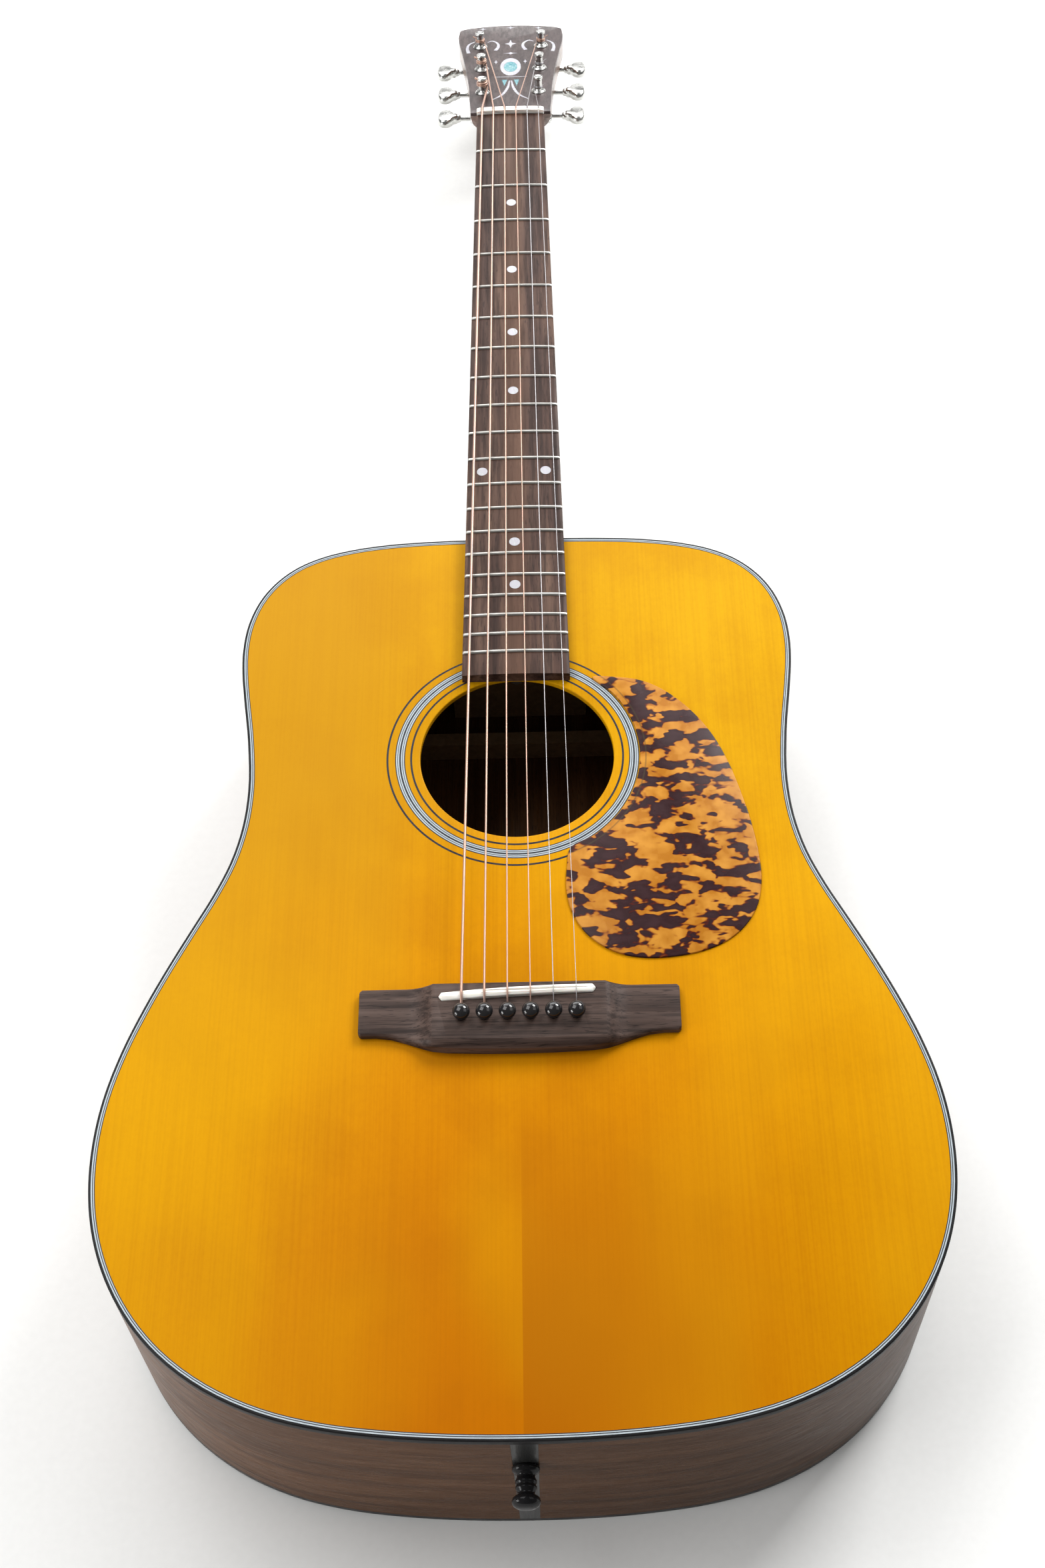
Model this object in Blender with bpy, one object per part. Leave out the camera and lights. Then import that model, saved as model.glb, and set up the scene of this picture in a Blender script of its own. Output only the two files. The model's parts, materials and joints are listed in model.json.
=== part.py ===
"""Six-string dreadnought acoustic guitar, lying on its back.

Blender 4.5, metres, +Z up. The guitar frame (the empty "guitar") has Z = 0 on the outer
face of the soundboard, Y = 0 where the neck meets the body, +Y towards the headstock and
+X towards the treble side. The headstock frame leans back from the nut. The guitar frame is
tipped so that the flat middle of the arched back lies on the ground.
"""
import math

import bmesh
import bpy
import numpy as np
from mathutils import Matrix, Vector

GAP = 0.0003                     # clearance kept between neighbouring pieces
BELOW_BACK_Z = -0.13             # cutters and blanks reach past the body as far as these
MID_BODY_Z = -0.08
PAST_BODY = 0.6

# Strings and scale
SCALE_LENGTH = 0.650
BODY_FRET = 14
FRET_COUNT = 20
NUT_Y = SCALE_LENGTH * (1 - 2 ** (-BODY_FRET / 12))
GAUGES = (0.00030, 0.00041, 0.00061, 0.00081, 0.00107, 0.00135)
NUT_SPREAD = 0.0366
SADDLE_SPREAD = 0.0545
NUT_STRING_Z = 0.0088
NUT_ABOVE_STRINGS = 0.0006
NUT_BEVEL = 0.0014
NUT_SLOT_FALL = 0.0022           # how far a nut slot slopes down towards the headstock

# Body
HALF_OUTLINE = (                 # half width, distance from the upper edge
    (0.0000, 0.0000), (0.0500, 0.0008), (0.0920, 0.0057), (0.1200, 0.0170),
    (0.1385, 0.0380), (0.1470, 0.0750), (0.1445, 0.1060), (0.1383, 0.1670),
    (0.1445, 0.2100), (0.1610, 0.2485), (0.1805, 0.2920), (0.1951, 0.3394),
    (0.1979, 0.3700), (0.1947, 0.4008), (0.1834, 0.4316), (0.1597, 0.4625),
    (0.1132, 0.4896), (0.0600, 0.5000), (0.0000, 0.5027))
BODY_LENGTH = HALF_OUTLINE[-1][1]
DEPTH_NECK = 0.100
DEPTH_TAIL = 0.120
BACK_RADIUS = 4.5                # arch of the back across the body
BACK_FLAT_HALF = 0.020
TOP_THICKNESS = 0.0028
BACK_THICKNESS = 0.0026
SIDE_THICKNESS = 0.0020
BINDING_WIDTH = 0.0013
BINDING_HEIGHT = 0.0040
LINING_WIDTH = 0.0056
LINING_HEIGHT = 0.0120
BLOCK_HALF_WIDTH = 0.038
NECK_BLOCK_LENGTH = 0.050
TAIL_BLOCK_LENGTH = 0.024
GRAFT_TOP_WIDTH = 0.0120
GRAFT_BOTTOM_WIDTH = 0.0094
END_PIN_Z = -0.0345
END_PIN_HOLE_RADIUS = 0.0041
HOLE_Y = -0.1482
HOLE_RADIUS = 0.0501

# Braces
X_CROSSING_Y = -0.228
X_ANGLE = math.radians(49)
BRACE_WIDTH = 0.008
BRACE_HEIGHT = 0.014
BACK_BRACE_YS = (-0.075, -0.165, -0.275, -0.385)
UPPER_BRACE_Y = -0.072
TONE_BAR_SLANT = math.radians(-24)
TONE_BARS = (                    # name, middle, length, how much lower than the other braces
    ("tone_bar_long", (0.0, -0.385), 0.200, 0.003),
    ("tone_bar_short", (-0.01, -0.440), 0.130, 0.005))
BRIDGE_PLATE_OUTLINE = ((-0.056, -0.284), (-0.094, -0.322), (0.094, -0.322), (0.056, -0.284))
BRIDGE_PLATE_BOTTOM_Z = -0.0056

# Neck, fretboard and nut
NUT_WIDTH = 0.0436
BODY_FRET_WIDTH = 0.0542
BOARD_END_Y = -0.100
BOARD_TOP_Z = 0.0067
BOARD_RADIUS = 0.40
FRET_WIDTH = 0.0024
FRET_HEIGHT = 0.0010
NECK_DEPTH_NUT = 0.0142
NECK_DEPTH_HEEL = 0.0162
NUT_THICKNESS = 0.0055
HEEL_LEVELS = (                  # height, half width, reach from the body
    (-0.006, 0.0265, 0.0800), (-0.012, 0.0262, 0.0620), (-0.018, 0.0245, 0.0460),
    (-0.026, 0.0220, 0.0365), (-0.038, 0.0190, 0.0295), (-0.055, 0.0162, 0.0250),
    (-0.075, 0.0142, 0.0228), (-0.095, 0.0132, 0.0222))
HEEL_CAP_THICKNESS = 0.0025
TENON_HALF_WIDTH = 0.010
TENON_DEPTH = 0.018
TENON_TOP_Z = -0.018
TENON_BOTTOM_Z = -0.078
ROD_Z = -0.0065
ROD_RADIUS = 0.0024
ROD_CHANNEL_HALF = 0.0030
ROD_CHANNEL_Z = -0.0092
ROD_NUT_YS = (-0.095, -0.082)
ROD_END_Y = 0.340
ROD_NUT_RADIUS = 0.0034

# Headstock, in its own frame: X across, Y along the face, Z out of the face
HEAD_ANGLE = math.radians(14)
HEAD_ORIGIN = (0.0, NUT_Y + NUT_THICKNESS + 2 * GAP, 0.0030)
VENEER_THICKNESS = 0.0020
HEAD_BACK_Z = -0.0160
HEAD_SIDE = (                    # half width, distance along the face
    (0.0218, -0.014), (0.0220, -0.003), (0.0262, 0.006), (0.0268, 0.014),
    (0.0277, 0.038), (0.0300, 0.068), (0.0334, 0.098), (0.0360, 0.134), (0.0352, 0.1385))
HEAD_CROWN = ((0.0330, 0.1402), (0.0240, 0.1432), (0.0120, 0.1452))
HEAD_LENGTH = 0.1460

# Bridge, saddle and pins
BRIDGE_FRONT_Y = -0.2862
BRIDGE_WING_Y = -0.3120
BRIDGE_BELLY_Y = -0.3205
BRIDGE_HALF_LENGTH = 0.0765
BRIDGE_HEIGHT = 0.0090
BRIDGE_WING_HEIGHT = 0.0040
BRIDGE_PLATEAU = 0.041
BRIDGE_SCOOP = 0.054
BRIDGE_EDGE = 0.0012
BELLY_CURVE = 0.8                # how fast the belly's rear edge bends forward
BELLY_INNER = 0.034
BELLY_OUTER = 0.068
SADDLE_BASS = (-0.0368, -0.2941)
SADDLE_TREBLE = (0.0351, -0.2909)
SADDLE_HALF_THICKNESS = 0.0015
SADDLE_BOTTOM_Z = 0.0045
SADDLE_TOP_Z = 0.0121
SADDLE_SHOULDER = 0.0010
PIN_Y = -0.3040
PIN_STRING_OFFSET = 0.0034
PIN_HOLE_RADIUS = 0.0029
STRING_SLOT_HALF = 0.0011
PIN_ENTRY_DEPTH = 0.0015
BALL_RADIUS = 0.0017
BALL_LENGTH = 0.0034
BALL_BEVEL = 0.0006

# Pickguard, measured from the centre of the soundhole
GUARD_THICKNESS = 0.0009
GUARD_INNER_RADIUS = 0.0636
GUARD_OUTLINE = (
    (0.0402, 0.0493), (0.0655, 0.0465), (0.0860, 0.0320), (0.1020, 0.0090),
    (0.1135, -0.0250), (0.1203, -0.0650), (0.1165, -0.0960), (0.1020, -0.1130),
    (0.0760, -0.1215), (0.0480, -0.1190), (0.0310, -0.1050), (0.0236, -0.0810),
    (0.0262, -0.0580))
GUARD_ARC_STEPS = 9

# Tuning machines
POST_XS = (0.0186, 0.0196, 0.0210)
POST_YS = (0.0320, 0.0701, 0.1082)
POST_RADIUS = 0.0030
POST_WAIST_RADIUS = 0.0025
POST_TOP_Z = 0.0106
POST_HOLE_RADIUS = 0.0034
WRAP_Z = 0.0026
WRAP_COUNT = 2
PLATE_TOP_Z = HEAD_BACK_Z - GAP
PLATE_THICKNESS = 0.0012
GEAR_TEETH = 16
GEAR_PITCH_RADIUS = 0.0050
GEAR_ROOT_RADIUS = 0.0041
GEAR_TIP_RADIUS = 0.0054
GEAR_HALF_HEIGHT = 0.0020
WORM_PITCH_RADIUS = 0.0024
WORM_LEAD = 2 * math.pi * GEAR_PITCH_RADIUS / GEAR_TEETH
WORM_TURNS = 2
WORM_TIP_RADIUS = 0.0030
SHAFT_RADIUS = 0.0015
SHAFT_BORE_RADIUS = 0.00185
WORM_OFFSET = GEAR_PITCH_RADIUS + WORM_PITCH_RADIUS
WORM_Z = PLATE_TOP_Z - PLATE_THICKNESS - GAP - WORM_TIP_RADIUS
LUG_X = 0.0068
LUG_THICKNESS = 0.0016
LUG_HALF = 0.0034
BUTTON_START = 0.0176


# ---------------------------------------------------------------- mesh helpers
def solid(name, points, faces):
    """Closed mesh object with its faces turned outward."""
    mesh = bpy.data.meshes.new(name)
    mesh.from_pydata([tuple(point) for point in points], [], faces)
    shape = bmesh.new()
    shape.from_mesh(mesh)
    bmesh.ops.recalc_face_normals(shape, faces=shape.faces)
    shape.to_mesh(mesh)
    shape.free()
    item = bpy.data.objects.new(name, mesh)
    bpy.context.collection.objects.link(item)
    return item


def skin(name, rings, closed=False):
    """Solid whose surface runs through equal rings of points, capped unless it closes."""
    count = len(rings[0])
    faces = []
    for index in range(len(rings) if closed else len(rings) - 1):
        low, high = index * count, (index + 1) % len(rings) * count
        for j in range(count):
            k = (j + 1) % count
            faces.append((low + j, low + k, high + k, high + j))
    if not closed:
        faces.append(tuple(range(count)))
        faces.append(tuple(range((len(rings) - 1) * count, len(rings) * count)))
    return solid(name, [point for ring in rings for point in ring], faces)


def level(outline, z):
    return [(x, y, z) for x, y in outline]


def prism(name, outline, low, high):
    return skin(name, [level(outline, low), level(outline, high)])


def hoop(name, outer, inner, low, high):
    """Band between two outlines."""
    rings = [level(outer, low), level(outer, high), level(inner, high), level(inner, low)]
    return skin(name, rings, closed=True)


def block(name, low, high):
    corners = [(low[0], low[1]), (high[0], low[1]), (high[0], high[1]), (low[0], high[1])]
    return prism(name, corners, low[2], high[2])


def circle(radius, sides, centre=(0.0, 0.0)):
    turn = 2 * math.pi / sides
    return [(centre[0] + radius * math.cos(turn * i), centre[1] + radius * math.sin(turn * i))
            for i in range(sides)]


def lathe(name, profile, sides, axis="Z"):
    """Turned solid from (distance along the axis, radius) pairs."""
    place = {"Z": lambda a, b, along: (a, b, along), "X": lambda a, b, along: (along, a, b),
             "Y": lambda a, b, along: (b, along, a)}[axis]
    rings = [[place(a, b, along) for a, b in circle(radius, sides)] for along, radius in profile]
    return skin(name, rings)


def move(item, offset):
    item.data.transform(Matrix.Translation(offset))
    return item


def join(name, items):
    """One object holding separate bodies, for use as a cutter."""
    shape = bmesh.new()
    for item in items:
        shape.from_mesh(item.data)
        bpy.data.objects.remove(item)
    mesh = bpy.data.meshes.new(name)
    shape.to_mesh(mesh)
    shape.free()
    joined = bpy.data.objects.new(name, mesh)
    bpy.context.collection.objects.link(joined)
    return joined


def combine(targets, tool, operation):
    """Apply a Boolean with the tool to each target, then delete the tool."""
    for target in targets:
        modifier = target.modifiers.new(operation.lower(), "BOOLEAN")
        modifier.operation = operation
        modifier.object = tool
        depsgraph = bpy.context.evaluated_depsgraph_get()
        result = bpy.data.meshes.new_from_object(target.evaluated_get(depsgraph))
        target.modifiers.clear()
        target.data = result
    bpy.data.objects.remove(tool)


def cut(target, tool):
    combine([target], tool, "DIFFERENCE")
    return target


def trim(target, tool):
    combine([target], tool, "INTERSECT")
    return target


def fuse(target, tool):
    combine([target], tool, "UNION")
    return target


def spline(points, steps, closed):
    """Points along the cubic spline through the given points, steps to each span."""
    knots = np.array(points)
    count = len(knots)
    spans = count if closed else count - 1
    widths = np.linalg.norm(np.roll(knots, -1, 0) - knots, axis=1)
    system = np.zeros((count, count))
    target = np.zeros((count, 2))
    for i in range(spans):
        j = (i + 1) % count
        weight = 1 / widths[i]
        rise = 3 * (knots[j] - knots[i]) * weight * weight
        for a, b in ((i, j), (j, i)):
            system[a, a] += 2 * weight
            system[a, b] += weight
            target[a] += rise
    slopes = np.linalg.solve(system, target)
    curve = []
    for i in range(spans):
        j = (i + 1) % count
        for step in range(steps):
            t = step / steps
            curve.append(knots[i] * (1 + 2 * t) * (1 - t) ** 2 + knots[j] * t * t * (3 - 2 * t)
                         + widths[i] * (slopes[i] * t * (1 - t) ** 2 - slopes[j] * t * t * (1 - t)))
    if not closed:
        curve.append(knots[-1])
    return [tuple(map(float, point)) for point in curve]


def inset(outline, distance):
    """Anticlockwise outline moved inwards by a distance."""
    moved = []
    for i, here in enumerate(outline):
        before, after = Vector(outline[i - 1]), Vector(outline[(i + 1) % len(outline)])
        along = (Vector(here) - before).normalized() + (after - Vector(here)).normalized()
        along.normalize()
        moved.append((here[0] - along.y * distance, here[1] + along.x * distance))
    return moved


def tube(name, path, radii, sides):
    """Round bar along a path that stays close to the Y-Z plane."""
    rings = []
    for i, here in enumerate(path):
        before, after = path[max(i - 1, 0)], path[min(i + 1, len(path) - 1)]
        along = (Vector(after) - Vector(before)).normalized()
        across = (Vector((1, 0, 0)) - along * along.x).normalized()
        up = across.cross(along)
        rings.append([Vector(here) + across * a + up * b for a, b in circle(radii[i], sides)])
    return skin(name, rings)


# ---------------------------------------------------------------- shared shapes
def body_outline():
    """Anticlockwise outline of the body, seen from above."""
    treble = [(x, -d) for x, d in HALF_OUTLINE]
    bass = [(-x, y) for x, y in treble[1:-1]]
    return spline(bass + treble[::-1], 2, closed=True)


def depth(y):
    return DEPTH_NECK - (DEPTH_TAIL - DEPTH_NECK) * y / BODY_LENGTH


def arch(x):
    return max(0.0, abs(x) - BACK_FLAT_HALF) ** 2 / (2 * BACK_RADIUS)


def back_layer(low, high):
    """Layer that follows the outer face of the back, from low to high above it."""
    half = [BACK_FLAT_HALF, 0.055, 0.090, 0.125, 0.160, 0.205]
    stations = [-x for x in half[::-1]] + half
    margin = 0.03
    rings = []
    for y in (margin, -BODY_LENGTH - margin):
        under = [(x, y, low + arch(x) - depth(y)) for x in stations]
        over = [(x, y, high + arch(x) - depth(y)) for x in stations[::-1]]
        rings.append(under + over)
    return skin("back_layer", rings)


def half_board_width(y):
    taper = (BODY_FRET_WIDTH - NUT_WIDTH) / NUT_Y
    return (NUT_WIDTH + taper * (NUT_Y - y)) / 2


def rod_channel():
    end_room, above = 0.003, 0.002
    low = (-ROD_CHANNEL_HALF, ROD_NUT_YS[0], ROD_CHANNEL_Z)
    return block("channel", low, (ROD_CHANNEL_HALF, ROD_END_Y + end_room, above))


# ---------------------------------------------------------------- body
def make_plates(outline):
    edge = inset(outline, BINDING_WIDTH + GAP)
    top = prism("soundboard", edge, -TOP_THICKNESS, 0.0)
    cut(top, prism("hole", circle(HOLE_RADIUS, 48, (0, HOLE_Y)), MID_BODY_Z, -MID_BODY_Z))
    back = trim(prism("back_plate", edge, BELOW_BACK_Z, MID_BODY_Z),
                back_layer(0.0, BACK_THICKNESS))
    return [top, back]


def make_bindings(outline):
    inner = inset(outline, BINDING_WIDTH)
    top = hoop("top_binding", outline, inner, -BINDING_HEIGHT, 0.0)
    back = hoop("back_binding", outline, inner, BELOW_BACK_Z, MID_BODY_Z)
    return [top, trim(back, back_layer(0.0, BINDING_HEIGHT))]


def graft_section(extra):
    """Outline of the tapered end graft in X and Z, widened by a margin."""
    top, bottom = GRAFT_TOP_WIDTH / 2 + extra, GRAFT_BOTTOM_WIDTH / 2 + extra
    return [(-bottom, BELOW_BACK_Z), (bottom, BELOW_BACK_Z), (top, 0.0), (-top, 0.0)]


def graft_wedge(extra):
    ends = (-BODY_LENGTH - 0.01, -BODY_LENGTH + 0.02)
    return skin("graft_wedge", [[(x, y, z) for x, z in graft_section(extra)] for y in ends])


def make_sides(outline):
    """The two bent sides and the end graft between them."""
    inner = inset(outline, SIDE_THICKNESS)
    top_z = -BINDING_HEIGHT - GAP
    rim = hoop("rim", outline, inner, BELOW_BACK_Z, top_z)
    trim(rim, back_layer(BINDING_HEIGHT + GAP, -BELOW_BACK_Z))
    pieces = []
    for name, sign in (("side_bass", -1), ("side_treble", 1)):
        side = bpy.data.objects.new(name, rim.data.copy())
        bpy.context.collection.objects.link(side)
        near, far = sorted((sign * GAP / 2, sign * PAST_BODY))
        trim(side, block("half", (near, -PAST_BODY, BELOW_BACK_Z), (far, PAST_BODY, 0.0)))
        cut(side, graft_wedge(GAP))
        slot, slot_y = TENON_HALF_WIDTH + GAP, 0.02
        cut(side, block("slot", (-slot, -slot_y, BELOW_BACK_Z), (slot, slot_y, 0.0)))
        pieces.append(side)
    rim.name = rim.data.name = "end_graft"
    pieces.append(trim(rim, graft_wedge(0.0)))
    return pieces


def make_linings(outline):
    outer = inset(outline, SIDE_THICKNESS + GAP)
    inner = inset(outline, SIDE_THICKNESS + GAP + LINING_WIDTH)
    high = -TOP_THICKNESS - GAP
    top = hoop("top_lining", outer, inner, high - LINING_HEIGHT, high)
    back = hoop("back_lining", outer, inner, BELOW_BACK_Z, MID_BODY_Z)
    low = BACK_THICKNESS + GAP
    trim(back, back_layer(low, low + LINING_HEIGHT))
    return [top, back]


def make_block(name, outline, y_limits):
    """End block: full height inside the linings, and out to the sides between them."""
    low_y, high_y = y_limits
    inside = SIDE_THICKNESS + 2 * GAP + LINING_WIDTH
    top_z = -TOP_THICKNESS - GAP
    floor = BACK_THICKNESS + GAP
    core = prism(name, inset(outline, inside), BELOW_BACK_Z, top_z)
    trim(core, back_layer(floor, -BELOW_BACK_Z))
    web_top = top_z - LINING_HEIGHT - GAP
    web = prism("web", inset(outline, SIDE_THICKNESS + GAP), BELOW_BACK_Z, web_top)
    trim(web, back_layer(floor + LINING_HEIGHT + GAP, -BELOW_BACK_Z))
    fuse(core, web)
    half = BLOCK_HALF_WIDTH
    return trim(core, block("limits", (-half, low_y, BELOW_BACK_Z), (half, high_y, 0.0)))


def make_blocks(outline):
    neck_block = make_block("neck_block", outline, (-NECK_BLOCK_LENGTH, PAST_BODY))
    mortise = TENON_HALF_WIDTH + GAP
    cut(neck_block, block("mortise", (-mortise, -TENON_DEPTH - GAP, TENON_BOTTOM_Z - GAP),
                          (mortise, PAST_BODY, TENON_TOP_Z + GAP)))
    tail_start = -BODY_LENGTH + TAIL_BLOCK_LENGTH
    tail_block = make_block("tail_block", outline, (-PAST_BODY, tail_start))
    return [neck_block, tail_block]


def bar(name, centre, angle, length, width, low, high):
    """Straight brace: a long block turned about Z."""
    item = block(name, (-length / 2, -width / 2, low), (length / 2, width / 2, high))
    item.data.transform(Matrix.Translation((*centre, 0)) @ Matrix.Rotation(angle, 4, "Z"))
    return item


def make_top_braces(outline):
    high = -TOP_THICKNESS - GAP
    low = high - BRACE_HEIGHT
    inside = inset(outline, SIDE_THICKNESS + 2 * GAP + LINING_WIDTH)
    centre = (0, X_CROSSING_Y)
    tilt = math.pi / 2 - X_ANGLE
    cross = bar("x_brace", centre, tilt, PAST_BODY, BRACE_WIDTH, low, high)
    fuse(cross, bar("leg", centre, -tilt, PAST_BODY, BRACE_WIDTH, low, high))
    trim(cross, prism("inside", inside, MID_BODY_Z, 0.0))
    upper = bar("upper_transverse_brace", (0, UPPER_BRACE_Y), 0, PAST_BODY, 2 * BRACE_WIDTH,
                low, high)
    trim(upper, prism("inside", inside, MID_BODY_Z, 0.0))
    long_bar, short_bar = [
        bar(name, middle, TONE_BAR_SLANT, length, BRACE_WIDTH, low + shaved, high)
        for name, middle, length, shaved in TONE_BARS]
    plate = prism("bridge_plate", BRIDGE_PLATE_OUTLINE, BRIDGE_PLATE_BOTTOM_Z, high)
    return [cross, upper, long_bar, short_bar, plate]


def make_back_braces(outline):
    low = BACK_THICKNESS + GAP
    inside = inset(outline, SIDE_THICKNESS + 2 * GAP + LINING_WIDTH)
    braces = []
    for number, y in enumerate(BACK_BRACE_YS, 1):
        brace = bar(f"back_brace_{number}", (0, y), 0, PAST_BODY, BRACE_WIDTH,
                    BELOW_BACK_Z, MID_BODY_Z)
        trim(brace, back_layer(low, low + BRACE_HEIGHT))
        braces.append(trim(brace, prism("inside", inside, BELOW_BACK_Z, 0.0)))
    return braces


def make_pickguard():
    """Teardrop plate whose inner edge follows the rosette."""
    outer = spline(GUARD_OUTLINE, 2, closed=False)
    start = math.atan2(GUARD_OUTLINE[-1][1], GUARD_OUTLINE[-1][0])
    end = math.atan2(GUARD_OUTLINE[0][1], GUARD_OUTLINE[0][0])
    angles = [start + (end - start) * i / GUARD_ARC_STEPS for i in range(1, GUARD_ARC_STEPS)]
    arc = [(GUARD_INNER_RADIUS * math.cos(a), GUARD_INNER_RADIUS * math.sin(a)) for a in angles]
    outline = [(x, y + HOLE_Y) for x, y in outer + arc]
    return prism("pickguard", outline, GAP, GAP + GUARD_THICKNESS)


def make_end_pin():
    """Strap pin pushed through the end graft into the tail block."""
    profile = [(0.0200, 0.0022), (0.0170, 0.0030), (-GAP, 0.0036), (-2 * GAP, 0.0052),
               (-0.0012, 0.0062), (-0.0026, 0.0060), (-0.0040, 0.0040), (-0.0066, 0.0047),
               (-0.0092, 0.0047), (-0.0118, 0.0036), (-0.0136, 0.0058), (-0.0152, 0.0063),
               (-0.0172, 0.0056), (-0.0184, 0.0038)]
    return move(lathe("end_pin", profile, 14, "Y"), (0, -BODY_LENGTH, END_PIN_Z))


def end_pin_hole():
    ends = (-0.01, TAIL_BLOCK_LENGTH + 0.01)
    hole = lathe("hole", [(along, END_PIN_HOLE_RADIUS) for along in ends], 16, "Y")
    return move(hole, (0, -BODY_LENGTH, END_PIN_Z))


# ---------------------------------------------------------------- bridge and strings
def string_x(number, spread):
    return spread / 2 - (number - 1) * spread / 5


def saddle_y(x):
    slope = (SADDLE_TREBLE[1] - SADDLE_BASS[1]) / (SADDLE_TREBLE[0] - SADDLE_BASS[0])
    return SADDLE_BASS[1] + slope * (x - SADDLE_BASS[0])


def crown(x, radius=BOARD_RADIUS):
    """How far the radiused fretboard, frets and saddle drop away from the middle."""
    return x * x / (2 * radius)


def ease(t):
    t = min(max(t, 0.0), 1.0)
    return t * t * (3 - 2 * t)


def bridge_section(x):
    """Section of the bridge across its grain: thick in the middle, scooped to thin wings."""
    size = abs(x)
    scooped = min(max((size - BRIDGE_PLATEAU) / (BRIDGE_SCOOP - BRIDGE_PLATEAU), 0.0), 1.0)
    height = BRIDGE_WING_HEIGHT + (BRIDGE_HEIGHT - BRIDGE_WING_HEIGHT) * (1 - scooped) ** 2
    bulge = 1 - ease((size - BELLY_INNER) / (BELLY_OUTER - BELLY_INNER))
    rear = BRIDGE_WING_Y + (BRIDGE_BELLY_Y - BRIDGE_WING_Y) * bulge
    rear += BELLY_CURVE * min(size, BELLY_INNER) ** 2
    if size == BRIDGE_HALF_LENGTH:
        rear += BRIDGE_EDGE
    front = BRIDGE_FRONT_Y - (BRIDGE_EDGE if size == BRIDGE_HALF_LENGTH else 0.0)
    round_rear = BRIDGE_EDGE + 0.0026 * bulge
    return [(x, rear, GAP), (x, rear, height - round_rear * 0.9),
            (x, rear + round_rear * 0.35, height - round_rear * 0.3), (x, rear + round_rear, height),
            (x, front - BRIDGE_EDGE, height), (x, front, height - BRIDGE_EDGE), (x, front, GAP)]


def bridge_stations():
    scoop = [BRIDGE_PLATEAU + (BRIDGE_SCOOP - BRIDGE_PLATEAU) * step / 5 for step in range(6)]
    half = [0.0, BELLY_INNER / 2, BELLY_INNER] + scoop
    half += [0.061, BELLY_OUTER, BRIDGE_HALF_LENGTH - BRIDGE_EDGE, BRIDGE_HALF_LENGTH]
    return [-x for x in half[:0:-1]] + half


def make_bridge():
    bridge = skin("bridge", [bridge_section(x) for x in bridge_stations()])
    slot = saddle_outline(SADDLE_HALF_THICKNESS + GAP)
    cut(bridge, prism("slot", slot, SADDLE_BOTTOM_Z - GAP, 2 * SADDLE_TOP_Z))
    return cut(bridge, join("ramps", [string_ramp(number) for number in range(1, 7)]))


def string_ramp(number):
    """Cutter for the slot that a string runs down, from the saddle to its pin hole."""
    saddle, entry = Vector(saddle_point(number)), Vector(pin_entry(number))
    below, above = GAP + GAUGES[number - 1] / 2, 0.006
    section = [(-STRING_SLOT_HALF, -below), (STRING_SLOT_HALF, -below),
               (STRING_SLOT_HALF, above), (-STRING_SLOT_HALF, above)]
    return skin("ramp", [[point + Vector((a, 0, b)) for a, b in section]
                         for point in (saddle.lerp(entry, -0.2), entry)])


def saddle_outline(half):
    """Outline of the slanted saddle, round at its ends."""
    bass, treble = Vector(SADDLE_BASS), Vector(SADDLE_TREBLE)
    along = (treble - bass).normalized()
    across = Vector((-along.y, along.x)) * half
    fractions = (0.0, 0.25, 0.5, 0.75, 1.0)
    outline = [bass.lerp(treble, fraction) - across for fraction in fractions]
    outline.append(treble + along * half)
    outline += [bass.lerp(treble, fraction) + across for fraction in fractions[::-1]]
    outline.append(bass - along * half)
    return outline


def make_saddle():
    """Saddle with a radiused top and rounded shoulders."""
    body = saddle_outline(SADDLE_HALF_THICKNESS)
    ridge = saddle_outline(SADDLE_HALF_THICKNESS - SADDLE_SHOULDER)
    shoulder = [(x, y, SADDLE_TOP_Z - SADDLE_SHOULDER - crown(x)) for x, y in body]
    top = [(x, y, SADDLE_TOP_Z - crown(x)) for x, y in ridge]
    return skin("saddle", [level(body, SADDLE_BOTTOM_Z), shoulder, top])


def saddle_point(number):
    """Where a string crosses the saddle."""
    x = string_x(number, SADDLE_SPREAD)
    radius = GAUGES[number - 1] / 2
    return (x, saddle_y(x), SADDLE_TOP_Z - crown(x) + GAP + radius)


def pin_entry(number):
    """Where a string turns down into its pin hole."""
    return (string_x(number, SADDLE_SPREAD), PIN_Y + PIN_STRING_OFFSET, BRIDGE_HEIGHT - 2 * GAP)


def keyholes():
    """Cutter for the six pin holes, each with a slot for its string."""
    holes = []
    for number in range(1, 7):
        x = string_x(number, SADDLE_SPREAD)
        front = PIN_STRING_OFFSET + STRING_SLOT_HALF
        neck_y = math.sqrt(PIN_HOLE_RADIUS ** 2 - STRING_SLOT_HALF ** 2) - GAP
        kept = [point for point in circle(PIN_HOLE_RADIUS, 12) if point[1] < neck_y]
        kept.sort(key=lambda point: (math.atan2(point[1], point[0]) - math.pi / 2) % (2 * math.pi))
        slot = [(STRING_SLOT_HALF, neck_y), (STRING_SLOT_HALF, front),
                (-STRING_SLOT_HALF, front), (-STRING_SLOT_HALF, neck_y)]
        outline = [(x + a, PIN_Y + b) for a, b in kept + slot]
        holes.append(prism("keyhole", outline, -2 * BRIDGE_HEIGHT, 2 * BRIDGE_HEIGHT))
    return join("keyholes", holes)


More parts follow.
